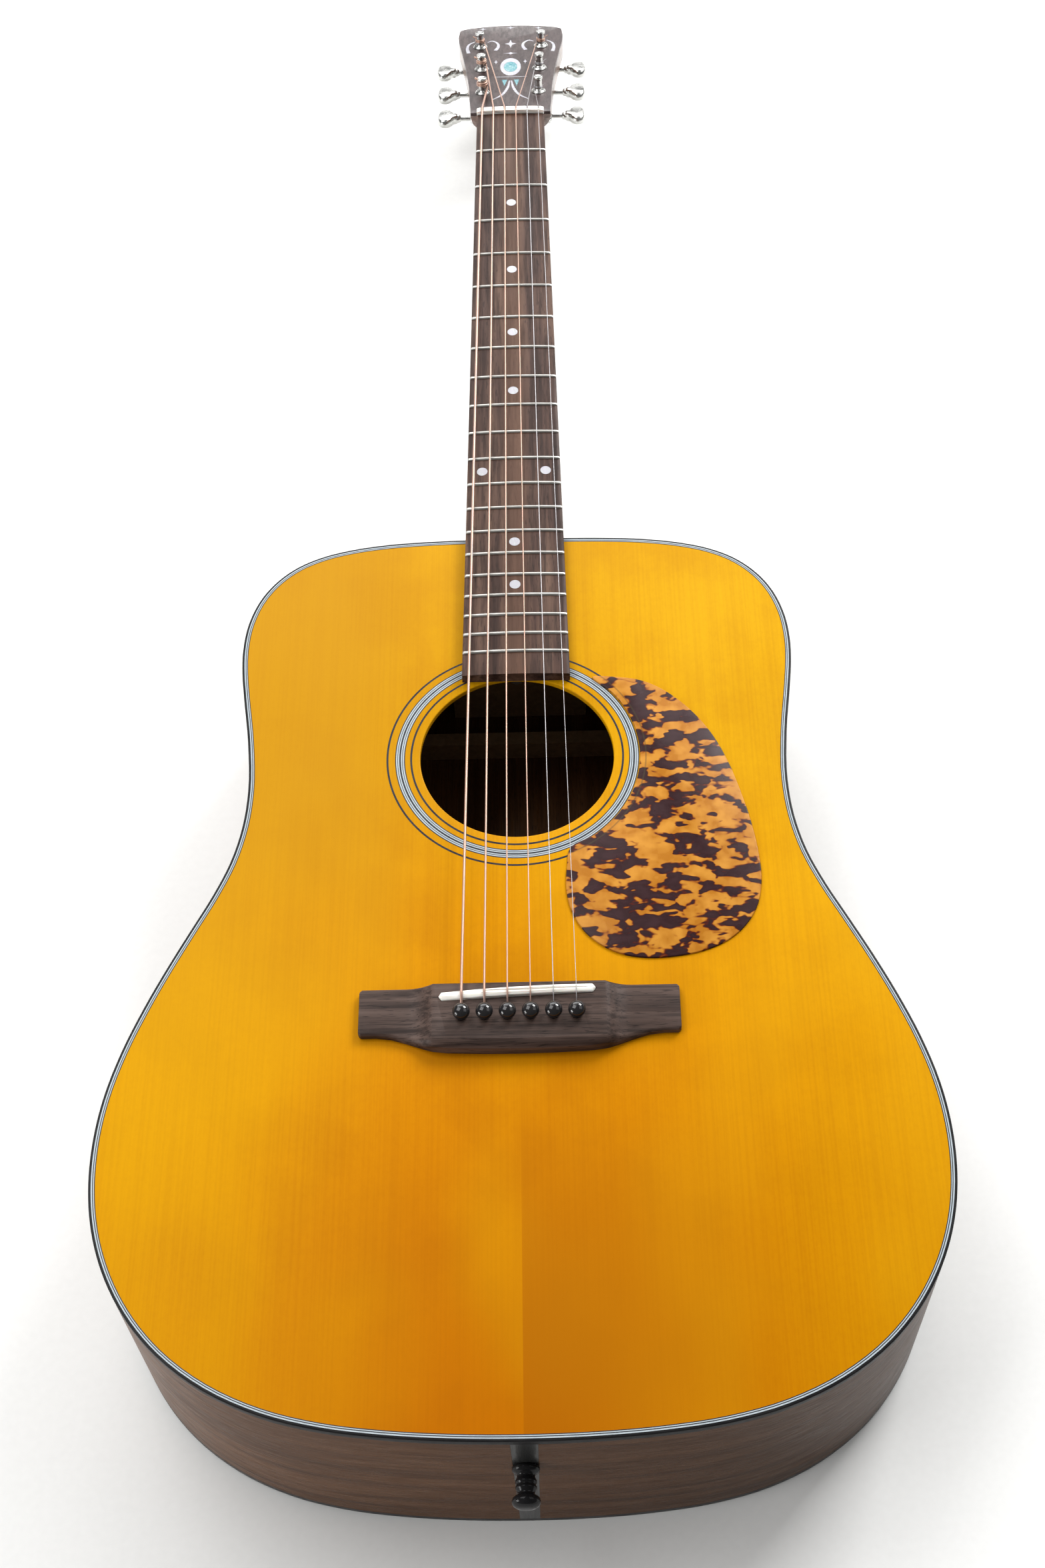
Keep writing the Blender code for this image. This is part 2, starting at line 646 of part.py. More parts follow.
def make_bridge_pins():
    head = BRIDGE_HEIGHT + 0.0036
    profile = [(-0.0140, 0.0009), (-0.0062, 0.0013), (-0.0056, 0.0021),
               (BRIDGE_HEIGHT, 0.0025), (head - 0.0028, 0.0027), (head - 0.0014, 0.0036),
               (head + 0.0004, 0.00385), (head + 0.0022, 0.0031), (head + 0.0035, 0.0011)]
    pins = []
    for number in range(1, 7):
        pin = lathe(f"bridge_pin_{number}", profile, 10)
        pins.append(move(pin, (string_x(number, SADDLE_SPREAD), PIN_Y, 0)))
    return pins


def make_nut():
    """Nut with a radiused top and one slot for each string."""
    start, end = NUT_Y + GAP, NUT_Y + NUT_THICKNESS
    rings = []
    for fraction in (-1, -0.9, -0.45, 0, 0.45, 0.9, 1):
        x = NUT_WIDTH / 2 * fraction
        top = NUT_STRING_Z - crown(x) + (NUT_ABOVE_STRINGS if abs(fraction) < 1 else 0)
        rings.append([(x, start, GAP), (x, start, top), (x, end - NUT_BEVEL, top),
                      (x, end, top - NUT_BEVEL), (x, end, GAP)])
    nut = skin("nut", rings)
    slots, margin = [], 0.002
    for number in range(1, 7):
        radius = GAUGES[number - 1] / 2 + GAP
        x = string_x(number, NUT_SPREAD)
        floor = nut_point(number)[2] - radius
        ends = ((start - margin, floor), (end + margin, floor - NUT_SLOT_FALL))
        slots.append(skin("slot", [[(x - radius, y, low), (x + radius, y, low),
                                    (x + radius, y, 2 * NUT_STRING_Z),
                                    (x - radius, y, 2 * NUT_STRING_Z)] for y, low in ends]))
    return cut(nut, join("slots", slots))


def nut_point(number):
    x = string_x(number, NUT_SPREAD)
    return (x, NUT_Y + GAP, NUT_STRING_Z - crown(x))


def head_matrix():
    return Matrix.Translation(HEAD_ORIGIN) @ Matrix.Rotation(-HEAD_ANGLE, 4, "X")


def post_place(number):
    """Side (+1 treble, -1 bass) and row (0 nearest the nut) of a string's post."""
    return (1, number - 1) if number <= 3 else (-1, 6 - number)


def post_centre(number):
    side, row = post_place(number)
    return side * POST_XS[row], POST_YS[row]


def post_contact(number):
    """Where a string leaves the nut side of its post, in the guitar frame."""
    side, _ = post_place(number)
    x, y = post_centre(number)
    gauge = GAUGES[number - 1]
    reach = POST_WAIST_RADIUS + gauge * 1.5 + GAP
    return head_matrix() @ Vector((x - side * reach, y - 0.001, WRAP_Z + gauge / 2))


def make_strings():
    """Each string from its post over the nut and saddle to the ball end under its pin."""
    strings = []
    for number, gauge in enumerate(GAUGES, 1):
        nut, saddle, entry = nut_point(number), saddle_point(number), pin_entry(number)
        back_of_nut = (nut[0], NUT_Y + NUT_THICKNESS - NUT_BEVEL, nut[2] - GAP / 2)
        x, y, entry_z = entry
        top = BRIDGE_PLATE_BOTTOM_Z - 2 * GAP
        falls = (entry_z - PIN_ENTRY_DEPTH, top, top - BALL_BEVEL,
                 top - BALL_LENGTH + BALL_BEVEL, top - BALL_LENGTH)
        path = [tuple(post_contact(number)), back_of_nut, nut, saddle, entry]
        path += [(x, y, z) for z in falls]
        radii = [gauge / 2] * 7 + [BALL_RADIUS] * 2 + [gauge / 2]
        strings.append(tube(f"string_{number}", path, radii, 6))
    return strings


# ---------------------------------------------------------------- neck
def neck_section(y, deep):
    half = half_board_width(y)
    ring = []
    for step in range(13):
        angle = math.pi * step / 12
        ring.append((half * math.copysign(abs(math.cos(angle)) ** 0.85, math.cos(angle)), y,
                     -deep * math.sin(angle) ** 0.8))
    return ring


def make_shaft():
    stations = [(GAP, NECK_DEPTH_HEEL), (0.06, NECK_DEPTH_HEEL), (0.15, 0.0158), (0.25, 0.0150),
                (NUT_Y - 0.03, NECK_DEPTH_NUT), (HEAD_ORIGIN[1] + 0.003, NECK_DEPTH_NUT)]
    return skin("neck", [neck_section(y, deep) for y, deep in stations])


def heel_section(half, reach):
    """Outline of the heel seen from above, flat against the body."""
    angles = [math.pi * step / 12 for step in range(13)]
    return [(half * math.cos(angle), GAP + (reach - GAP) * math.sin(angle) ** 0.9)
            for angle in angles]


def head_outline():
    right = spline(HEAD_SIDE, 1, closed=False) + list(HEAD_CROWN) + [(0.0, HEAD_LENGTH)]
    left = [(-x, y) for x, y in right[-2::-1]]
    return right + left


def post_hole(centre=(0.0, 0.0)):
    """Cutter for a post, clear of it all round."""
    sides = 12
    outline = circle(POST_HOLE_RADIUS / math.cos(math.pi / sides), sides, centre)
    return prism("hole", outline, 2 * HEAD_BACK_Z, -2 * HEAD_BACK_Z)


def post_holes():
    return join("holes", [post_hole(post_centre(number)) for number in range(1, 7)])


def make_neck():
    neck = make_shaft()
    fuse(neck, skin("heel", [level(heel_section(half, reach), z) for z, half, reach in HEEL_LEVELS]))
    head = prism("head", head_outline(), HEAD_BACK_Z, -VENEER_THICKNESS - GAP)
    cut(head, post_holes())
    head.data.transform(head_matrix())
    nut_seat = block("nut_seat", (-NUT_WIDTH, 0.0, 0.0), (NUT_WIDTH, HEAD_ORIGIN[1], NUT_WIDTH))
    cut(head, nut_seat)
    fuse(neck, head)
    joint_overlap = 0.004
    tenon = block("tenon", (-TENON_HALF_WIDTH, -TENON_DEPTH, TENON_BOTTOM_Z),
                  (TENON_HALF_WIDTH, joint_overlap, TENON_TOP_Z))
    fuse(neck, tenon)
    return cut(neck, rod_channel())


def make_veneer():
    outline = [(x, max(y, GAP)) for x, y in head_outline() if y > -0.010]
    veneer = prism("headstock_veneer", outline, -VENEER_THICKNESS, 0.0)
    cut(veneer, post_holes())
    veneer.data.transform(head_matrix())
    return veneer


def make_heel_cap():
    bottom, half, reach = HEEL_LEVELS[-1]
    high = bottom - GAP
    return prism("heel_cap", heel_section(half, reach), high - HEEL_CAP_THICKNESS, high)


def fret_y(number):
    return NUT_Y - SCALE_LENGTH * (1 - 2 ** (-number / 12))


def board_stations():
    """Distances along the board with the height that the frets add there."""
    stations = [(NUT_Y, 0.0)]
    for number in range(1, FRET_COUNT + 1):
        y = fret_y(number)
        for offset, rise in ((0.5, 0.0), (0.22, 1.0), (-0.22, 1.0), (-0.5, 0.0)):
            stations.append((y + offset * FRET_WIDTH, rise * FRET_HEIGHT))
    return stations + [(BOARD_END_Y, 0.0)]


def make_fretboard():
    """Tapered board with a radiused top, its frets joined to it."""
    fractions = (-1, -0.5, 0, 0.5, 1)
    points, faces = [], []
    for y, rise in board_stations():
        half = half_board_width(y)
        points += [(half * f, y, BOARD_TOP_Z + rise - crown(half * f)) for f in fractions]
    rows, columns = len(board_stations()), len(fractions)
    for row in range(rows - 1):
        for column in range(columns - 1):
            first = row * columns + column
            faces.append((first, first + 1, first + columns + 1, first + columns))
    base = len(points)
    for y in (NUT_Y, BOARD_END_Y):
        points += [(-half_board_width(y), y, GAP), (half_board_width(y), y, GAP)]
    last = (rows - 1) * columns
    faces.append((base, base + 1, base + 3, base + 2))
    faces.append(tuple(range(columns)) + (base + 1, base))
    faces.append(tuple(range(last, last + columns)) + (base + 3, base + 2))
    faces.append(tuple(range(0, last + 1, columns)) + (base + 2, base))
    faces.append(tuple(range(columns - 1, last + columns, columns)) + (base + 3, base + 1))
    return solid("fretboard", points, faces)


def make_truss_rod():
    """Truss rod with the hexagonal nut that is turned through the soundhole."""
    ends = (ROD_NUT_YS[1] - 0.001, ROD_END_Y)
    rod = lathe("truss_rod", [(y, ROD_RADIUS) for y in ends], 12, "Y")
    fuse(rod, lathe("rod_nut", [(y, ROD_NUT_RADIUS) for y in ROD_NUT_YS], 6, "Y"))
    rod.location.z = ROD_Z
    return rod


# ---------------------------------------------------------------- tuning machines
def make_plate():
    """Back plate with two lugs that carry the worm shaft; its origin is on the post axis."""
    low, high = PLATE_TOP_Z - PLATE_THICKNESS, PLATE_TOP_Z
    half, near, far, corner = 0.0086, -0.0105, 0.0175, 0.003
    outline = [(-half, near + corner), (-half + corner, near), (half - corner, near),
               (half, near + corner), (half, far - corner), (half - corner, far),
               (-half + corner, far), (-half, far - corner)]
    plate = prism("tuner_plate", outline, low, high)
    lugs = [block("lug", (x - LUG_THICKNESS / 2, WORM_OFFSET - LUG_HALF, WORM_Z - LUG_HALF),
                  (x + LUG_THICKNESS / 2, WORM_OFFSET + LUG_HALF, low + PLATE_THICKNESS / 4))
            for x in (-LUG_X, LUG_X)]
    fuse(plate, join("lugs", lugs))
    bore = lathe("bore", [(x, SHAFT_BORE_RADIUS) for x in (-2 * LUG_X, 2 * LUG_X)], 12, "X")
    cut(plate, move(bore, (0, WORM_OFFSET, WORM_Z)))
    return cut(plate, post_hole())


def make_gear():
    """Worm wheel: its teeth lean with the thread of the worm."""
    lean = math.atan(WORM_LEAD / (2 * math.pi * WORM_PITCH_RADIUS))
    twist = math.tan(lean) / GEAR_PITCH_RADIUS
    tooth = ((-0.00046, GEAR_ROOT_RADIUS), (-0.00024, GEAR_TIP_RADIUS),
             (0.00024, GEAR_TIP_RADIUS), (0.00046, GEAR_ROOT_RADIUS))
    rings = []
    for z in (-GEAR_HALF_HEIGHT, GEAR_HALF_HEIGHT):
        ring = []
        for index in range(GEAR_TEETH):
            middle = math.pi / 2 + 2 * math.pi * index / GEAR_TEETH + twist * z
            for width, radius in tooth:
                angle = middle + width / radius
                ring.append((radius * math.cos(angle), radius * math.sin(angle), WORM_Z + z))
        rings.append(ring)
    return skin("gear", rings)


def make_post(number):
    """String post with its worm wheel and the turns of string wound on it."""
    gauge = GAUGES[number - 1]
    profile = [(WORM_Z - 0.0040, 0.0022), (WORM_Z - 0.0035, 0.0026), (WORM_Z - 0.0018, 0.0026),
               (WORM_Z - 0.0018, POST_RADIUS), (WRAP_Z - 0.0004, POST_RADIUS),
               (WRAP_Z - 0.0002, POST_WAIST_RADIUS)]
    for turn in range(WRAP_COUNT):
        start = WRAP_Z + turn * gauge
        profile += [(start + gauge * 0.25, POST_WAIST_RADIUS + gauge),
                    (start + gauge * 0.75, POST_WAIST_RADIUS + gauge),
                    (start + gauge * 0.98, POST_WAIST_RADIUS + gauge * 0.3)]
    profile += [(WRAP_Z + WRAP_COUNT * gauge + 0.0002, POST_WAIST_RADIUS),
                (POST_TOP_Z - 0.0024, POST_WAIST_RADIUS), (POST_TOP_Z - 0.0020, POST_RADIUS),
                (POST_TOP_Z - 0.0006, POST_RADIUS), (POST_TOP_Z, POST_RADIUS * 0.8)]
    post = lathe(f"tuner_post_{number}", profile, 10)
    return fuse(post, make_gear())


def make_worm():
    """Threaded part of the tuner shaft: one start, right-handed."""
    steps = 8
    tooth = ((-0.00034, 0.0013), (-0.00022, WORM_TIP_RADIUS),
             (0.00022, WORM_TIP_RADIUS), (0.00034, 0.0013))
    rings = []
    for step in range(WORM_TURNS * steps + 1):
        turn = step / steps - WORM_TURNS / 2
        angle = math.pi + 2 * math.pi * (turn - 0.5)
        rings.append([(WORM_LEAD * turn + width, radius * math.cos(angle), radius * math.sin(angle))
                      for width, radius in tooth])
    return skin("worm", rings)


def make_button():
    """Tuning button, shaft and worm; its origin is on the shaft axis beside the post."""
    shaft = lathe("tuner_button", [(-0.0088, SHAFT_RADIUS), (BUTTON_START - 0.0006, SHAFT_RADIUS),
                                   (BUTTON_START - 0.0005, 0.0023), (BUTTON_START + 0.0020, 0.0025)],
                  10, "X")
    upper = [(0.0, 0.0020), (0.0024, 0.0030), (0.0044, 0.0072), (0.0078, 0.0096),
             (0.0112, 0.0088), (0.0134, 0.0056), (0.0138, 0.0024)]
    bean = upper + [(x, -y) for x, y in upper[::-1]]
    middle = 0.0075
    rings = []
    for scale, z in ((0.76, -0.0031), (1.0, -0.0016), (1.0, 0.0016), (0.76, 0.0031)):
        rings.append([(BUTTON_START + middle + (x - middle) * scale, y * scale, z) for x, y in bean])
    fuse(shaft, skin("bean", rings))
    return fuse(shaft, make_worm())


def make_tuners(head_frame):
    """Six machines: plate, post and button, placed in the headstock frame."""
    plate_pattern, button_pattern = make_plate(), make_button()
    machines = []
    for number in range(1, 7):
        side, _ = post_place(number)
        x, y = post_centre(number)
        plate = copy_of(plate_pattern, f"tuner_plate_{number}")
        button = copy_of(button_pattern, f"tuner_button_{number}")
        post = make_post(number)
        plate.location = post.location = (x, y, 0)
        button.location = (x, y + WORM_OFFSET, WORM_Z)
        if side < 0:
            button.rotation_euler = (0, math.pi, 0)
        machines += [plate, button, post]
    for item in machines:
        item.parent = head_frame
    for pattern in (plate_pattern, button_pattern):
        bpy.data.objects.remove(pattern)
    return machines


def copy_of(pattern, name):
    item = bpy.data.objects.new(name, pattern.data)
    bpy.context.collection.objects.link(item)
    return item


# ---------------------------------------------------------------- finish
RAW_WOOD = ((0.62, 0.45, 0.28), 0.7, 0.0)
BLACK_PLASTIC = ((0.010, 0.010, 0.010), 0.15, 0.0)
BODY_WOOD = ((0.10, 0.045, 0.030), 0.25, 0.0)
ROSEWOOD = ((0.12, 0.070, 0.050), 0.5, 0.0)
BONE = ((0.85, 0.83, 0.76), 0.35, 0.0)
PLAIN_STEEL = ((0.75, 0.75, 0.75), 0.25, 1.0)
FINISHES = {                     # start of the name: colour, roughness, metallic
    "soundboard": ((0.72, 0.30, 0.035), 0.22, 0.0), "back_plate": BODY_WOOD, "side": BODY_WOOD,
    "end_graft": ((0.03, 0.03, 0.03), 0.3, 0.0), "top_binding": BLACK_PLASTIC,
    "back_binding": BLACK_PLASTIC, "heel_cap": BLACK_PLASTIC, "end_pin": BLACK_PLASTIC,
    "bridge_pin": BLACK_PLASTIC, "pickguard": ((0.35, 0.12, 0.04), 0.15, 0.0),
    "bridge": ROSEWOOD, "bridge_plate": RAW_WOOD, "fretboard": ROSEWOOD,
    "headstock_veneer": ((0.09, 0.05, 0.045), 0.25, 0.0), "saddle": BONE, "nut": BONE,
    "neck": ((0.13, 0.06, 0.035), 0.35, 0.0), "neck_block": RAW_WOOD,
    "truss_rod": ((0.5, 0.5, 0.5), 0.35, 1.0), "tuner": ((0.72, 0.70, 0.68), 0.22, 1.0),
    "string": ((0.62, 0.36, 0.20), 0.35, 1.0), "string_1": PLAIN_STEEL, "string_2": PLAIN_STEEL}


def paint(item):
    """Give a sub-part its own material, by the longest start of its name that has a finish."""
    fits = [key for key in FINISHES if item.name.startswith(key)]
    colour, roughness, metallic = FINISHES[max(fits, key=len)] if fits else RAW_WOOD
    material = bpy.data.materials.new(item.name)
    material.use_nodes = True
    shader = material.node_tree.nodes["Principled BSDF"]
    shader.inputs["Base Color"].default_value = (*colour, 1)
    shader.inputs["Roughness"].default_value = roughness
    shader.inputs["Metallic"].default_value = metallic
    if not item.data.materials:
        item.data.materials.append(material)
    item.material_slots[0].link = "OBJECT"
    item.material_slots[0].material = material
    item.data.shade_smooth()
    item.data.set_sharp_from_angle(angle=math.radians(32))


def stand_on_ground(frame, items):
    """Tip the guitar onto its back and centre it over the origin."""
    frame.rotation_euler = (-math.atan((DEPTH_TAIL - DEPTH_NECK) / BODY_LENGTH), 0, 0)
    bpy.context.view_layer.update()
    corners = [item.matrix_world @ vertex.co for item in items for vertex in item.data.vertices]
    for axis in (0, 1):
        values = [corner[axis] for corner in corners]
        frame.location[axis] = -(min(values) + max(values)) / 2
    frame.location.z = -min(corner.z for corner in corners)
    bpy.context.view_layer.update()


def make_body():
    """The body with its bridge and pickguard, cut for the pins, the truss rod and the end pin."""
    outline = body_outline()
    plates = make_plates(outline)
    sides = make_sides(outline)
    linings = make_linings(outline)
    blocks = make_blocks(outline)
    top_braces = make_top_braces(outline)
    bridge = make_bridge()
    combine([plates[0], top_braces[4], bridge], keyholes(), "DIFFERENCE")
    combine([linings[0], blocks[0], top_braces[1]], rod_channel(), "DIFFERENCE")
    combine([sides[2], blocks[1]], end_pin_hole(), "DIFFERENCE")
    items = plates + sides + linings + blocks + top_braces + make_back_braces(outline)
    return items + make_bindings(outline) + [bridge, make_pickguard()]


def make_empty(name):
    empty = bpy.data.objects.new(name, None)
    bpy.context.collection.objects.link(empty)
    return empty


def main():
    for item in list(bpy.data.objects):
        bpy.data.objects.remove(item)
    items = make_body() + make_bridge_pins() + make_strings()
    items += [make_saddle(), make_nut(), make_fretboard(), make_neck(), make_veneer(),
              make_heel_cap(), make_end_pin(), make_truss_rod()]
    guitar = make_empty("guitar")
    for item in items:
        item.parent = guitar
    head_frame = make_empty("headstock_frame")
    head_frame.parent = guitar
    head_frame.matrix_local = head_matrix()
    items += make_tuners(head_frame)
    for item in items:
        paint(item)
    stand_on_ground(guitar, items)


main()
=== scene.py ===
"""Looks of a six-string dreadnought guitar: fine surfaces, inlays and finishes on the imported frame.

Two local frames are worked out from the record. GUITAR has its origin on the soundboard's face
where the neck joins, Y towards the headstock and X towards the treble side. HEAD lies on the
headstock's face, Y along it from the nut and Z out of it.
"""
import json
import math

import bmesh
import bpy
import numpy as np
from mathutils import Matrix, Vector


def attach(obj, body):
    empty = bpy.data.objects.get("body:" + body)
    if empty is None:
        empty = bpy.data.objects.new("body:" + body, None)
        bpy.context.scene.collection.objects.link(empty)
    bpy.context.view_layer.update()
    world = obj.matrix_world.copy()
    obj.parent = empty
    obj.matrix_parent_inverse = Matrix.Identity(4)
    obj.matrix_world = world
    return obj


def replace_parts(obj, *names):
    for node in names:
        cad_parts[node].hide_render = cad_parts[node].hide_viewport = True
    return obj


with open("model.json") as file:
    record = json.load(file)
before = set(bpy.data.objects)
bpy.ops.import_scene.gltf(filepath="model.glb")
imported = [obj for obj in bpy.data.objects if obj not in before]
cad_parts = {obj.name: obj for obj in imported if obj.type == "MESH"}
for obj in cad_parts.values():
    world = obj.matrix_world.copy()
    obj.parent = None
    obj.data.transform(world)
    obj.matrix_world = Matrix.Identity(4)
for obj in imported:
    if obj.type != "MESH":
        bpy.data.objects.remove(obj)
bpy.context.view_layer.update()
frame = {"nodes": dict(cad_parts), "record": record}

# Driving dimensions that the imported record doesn't state, in metres
SCALE_LENGTH = 0.650
FRET_COUNT = 20
FRET_HEIGHT = 0.0010
BOARD_RADIUS = 0.40
GAUGES = (0.00030, 0.00041, 0.00061, 0.00081, 0.00107, 0.00135)
NUT_SPREAD = 0.0366
NUT_STRING_Z = 0.0088
POST_ROW_Y = 0.0320
ROD_DEPTH = 0.0065
HEAD_THICKNESS = 0.0160
VENEER_THICKNESS = 0.0020
BACK_RADIUS = 4.5
BACK_FLAT_HALF = 0.020
TOP_THICKNESS = 0.0028
BACK_THICKNESS = 0.0026
SIDE_THICKNESS = 0.0020
BINDING_WIDTH = 0.0013
BINDING_HEIGHT = 0.0040
TENON_HALF_WIDTH = 0.0103
GRAFT_TOP_WIDTH = 0.0120
GRAFT_BOTTOM_WIDTH = 0.0094
HEEL_BOTTOM_Z = -0.0950
PROUD = 0.00005                  # how far inlays stand above the wood around them
HEAD_SHOULDER_Y = 0.1340         # where the headstock's end curve starts

WELD = 1e-6
OUTLINE_STEPS = 4
SIDE_STEPS = 150
HOLE_SIDES = 160
NECK_STEPS = 28
SHARP, BLUNT, BLUNTEST = map(math.radians, (38, 60, 70))    # edges steeper than this stay sharp


# ---------------- frames
def joint(name):
    return next(row for row in frame["record"]["behaviour"]["joints"] if row["name"] == name)


def guitar_frame():
    """Frame of the body and neck: the truss rod's axis runs along its Y, below its origin."""
    rod = joint("truss_rod_nut_turn")
    _, along, up = rod["axis"]
    return (Matrix.Translation(rod["pos_m"]) @ Matrix.Rotation(math.atan2(up, along), 4, "X")
            @ Matrix.Translation((0, 0, ROD_DEPTH)))


def head_turn():
    """Rotation that takes X, Y and Z to the headstock's own directions."""
    out = Vector(joint("tuner_1_post_turn")["axis"])
    return Matrix.Rotation(-math.atan2(out.y, out.z), 4, "X")


GUITAR = guitar_frame()
TURN = head_turn()
HEAD = (Matrix.Translation((0, *joint("tuner_1_post_turn")["pos_m"][1:])) @ TURN
        @ Matrix.Translation((0, -POST_ROW_Y, 0)))
HEAD_IN_GUITAR = GUITAR.inverted() @ HEAD


def local_box(node, place=GUITAR):
    """Lowest and highest corner of a CAD node in a local frame."""
    corners = [place.inverted() @ vertex.co for vertex in frame["nodes"][node].data.vertices]
    return [Vector([pick(corner[axis] for corner in corners) for axis in range(3)])
            for pick in (min, max)]


# ---------------- curves
def smooth(points, steps, closed=True):
    """Curve through the given points with matching slopes, steps to each span."""
    knots = np.array(points, dtype=float)
    spans = [(i, (i + 1) % len(knots)) for i in range(len(knots) - (not closed))]
    lengths = [float(np.linalg.norm(knots[j] - knots[i])) for i, j in spans]
    speeds = [(knots[j] - knots[i]) / length for (i, j), length in zip(spans, lengths)]
    slopes = [(speeds[i - 1] * lengths[i] + speeds[i] * lengths[i - 1])
              / (lengths[i - 1] + lengths[i]) for i in range(len(spans))]
    if not closed:
        slopes = [speeds[0]] + slopes[1:] + [speeds[-1]]
    curve = []
    for (i, j), length in zip(spans, lengths):
        for step in range(steps):
            t = step / steps
            bend = length * t * (1 - t) * (slopes[i] * (1 - t) - slopes[j] * t)
            curve.append(knots[i] * (1 + 2 * t) * (1 - t) ** 2 + knots[j] * t * t * (3 - 2 * t)
                         + bend)
    if not closed:
        curve.append(knots[-1])
    return [tuple(map(float, point)) for point in curve]


def inset(outline, distance):
    """Anticlockwise outline moved inwards by a distance."""
    moved = []
    for i, here in enumerate(outline):
        before, after = Vector(outline[i - 1]), Vector(outline[(i + 1) % len(outline)])
        along = (Vector(here) - before).normalized() + (after - Vector(here)).normalized()
        along.normalize()
        moved.append((here[0] - along.y * distance, here[1] + along.x * distance))
    return moved


def circle(radius, sides, centre=(0.0, 0.0), start=0.0):
    turn = 2 * math.pi / sides
    return [(centre[0] + radius * math.cos(start + turn * i),
             centre[1] + radius * math.sin(start + turn * i)) for i in range(sides)]


def mm(table):
    """Nested rows of millimetres in metres."""
    return table / 1000 if isinstance(table, (int, float)) else tuple(map(mm, table))


def level(outline, z):
    return [(x, y, z) for x, y in outline]


def ease(t):
    t = min(max(t, 0.0), 1.0)
    return t * t * (3 - 2 * t)


def read(table, at):
    """Value at a distance in a table of (distance, value) pairs, by straight lines."""
    return float(np.interp(at, [row[0] for row in table], [row[1] for row in table]))


def welded(node, place=GUITAR):
    """A CAD node's skin in a local frame, with its doubled vertices joined."""
    shape = bmesh.new()
    shape.from_mesh(frame["nodes"][node].data)
    bmesh.ops.transform(shape, matrix=place.inverted(), verts=shape.verts)
    bmesh.ops.remove_doubles(shape, verts=shape.verts, dist=WELD)
    return shape


def rims(node, place, height):
    """Anticlockwise rims of a CAD node's flat face at a height, the longest first."""
    shape = welded(node, place)
    flat = [face for face in shape.faces
            if all(abs(vertex.co.z - height) < 2e-5 for vertex in face.verts)]
    after = {}
    for face in flat:
        for loop in face.loops:
            if not any(other in flat for other in loop.edge.link_faces if other != face):
                after[loop.vert] = loop.link_loop_next.vert
    found = []
    while after:
        here, following = after.popitem()
        ring = [here]
        while following in after:
            ring.append(following)
            following = after.pop(following)
        found.append([(vertex.co.x, vertex.co.y) for vertex in ring])
    shape.free()
    return sorted(found, key=lambda ring: -sum(map(math.dist, ring, ring[1:] + ring[:1])))


# ---------------- shapes
class Shape:
    """Points and faces gathered from one or more closed skins."""

    def __init__(self):
        self.points = []
        self.faces = []

    def skin(self, rings, closed=False):
        """Surface through equal rings of points, capped unless it closes on itself."""
        base, count = len(self.points), len(rings[0])
        for index in range(len(rings) if closed else len(rings) - 1):
            low, high = base + index * count, base + (index + 1) % len(rings) * count
            for j in range(count):
                k = (j + 1) % count
                self.faces.append((low + j, low + k, high + k, high + j))
        self.points += [tuple(point) for ring in rings for point in ring]
        if not closed:
            self.faces.append(tuple(range(base, base + count)))
            self.faces.append(tuple(range(len(self.points) - count, len(self.points))))
        return self

    def lathe(self, turned, sides, place=Matrix()):
        """Turned solid from (distance along Z, radius) pairs."""
        return self.skin([[place @ Vector((a, b, along)) for a, b in circle(radius, sides)]
                          for along, radius in turned])

    def plate(self, outline, low, high, edge=0.0, steps=3, place=Matrix()):
        """Flat plate with a rounded upper edge."""
        rings = [level(outline, low), level(outline, high - edge)]
        for step in range(1, steps + 1) if edge else ():
            angle = math.pi / 2 * step / steps
            rings.append(level(inset(outline, edge * (1 - math.cos(angle))),
                               high - edge * (1 - math.sin(angle))))
        return self.skin([[place @ Vector(point) for point in ring] for ring in rings])

    def hoop(self, outer, inner, low, high):
        return self.skin([level(outer, low), level(outer, high), level(inner, high),
                          level(inner, low)], closed=True)

    def tube(self, path, radii, sides):
        """Round bar along a path, its rings turned as little as possible."""
        path = [Vector(point) for point in path]
        across = Vector((1, 0, 0))
        rings = []
        for i, here in enumerate(path):
            along = (path[min(i + 1, len(path) - 1)] - path[max(i - 1, 0)]).normalized()
            across = (across - along * across.dot(along)).normalized()
            up = along.cross(across)
            rings.append([here + across * a + up * b for a, b in circle(radii[i], sides)])
        return self.skin(rings)


def linked(name, data):
    item = bpy.data.objects.new(name, data)
    bpy.context.scene.collection.objects.link(item)
    return item


def finished(name, mesh, finish, body="root"):
    """Object with a mesh and a finish, riding on a CAD body."""
    item = linked(name, mesh)
    mesh.materials.append(finish.material)
    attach(item, body)
    return item


def piece(name, shape, finish, place=GUITAR, body="root", sharp=SHARP):
    """Object made from a shape in a local frame, on a body."""
    mesh = bpy.data.meshes.new(name)
    mesh.from_pydata([place @ Vector(point) for point in shape.points], [], shape.faces)
    work = bmesh.new()
    work.from_mesh(mesh)
    bmesh.ops.recalc_face_normals(work, faces=work.faces)
    work.to_mesh(mesh)
    work.free()
    mesh.shade_smooth()
    mesh.set_sharp_from_angle(angle=sharp)
    return finished(name, mesh, finish, body)


def copy_of(node, name, finish, bevel, drop=0.0):
    """Bevelled copy of a CAD node that stands for it, its underside brought down by a drop."""
    shape = welded(node)
    bmesh.ops.dissolve_limit(shape, angle_limit=math.radians(0.5), verts=shape.verts,
                             edges=shape.edges)
    bottom = min(vertex.co.z for vertex in shape.verts)
    for vertex in shape.verts:
        if vertex.co.z < bottom + 1e-5:
            vertex.co.z -= drop
    bmesh.ops.transform(shape, matrix=GUITAR, verts=shape.verts)
    mesh = bpy.data.meshes.new(name)
    shape.to_mesh(mesh)
    shape.free()
    item = finished(name, mesh, finish)
    soften(item, bevel)
    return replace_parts(item, node)


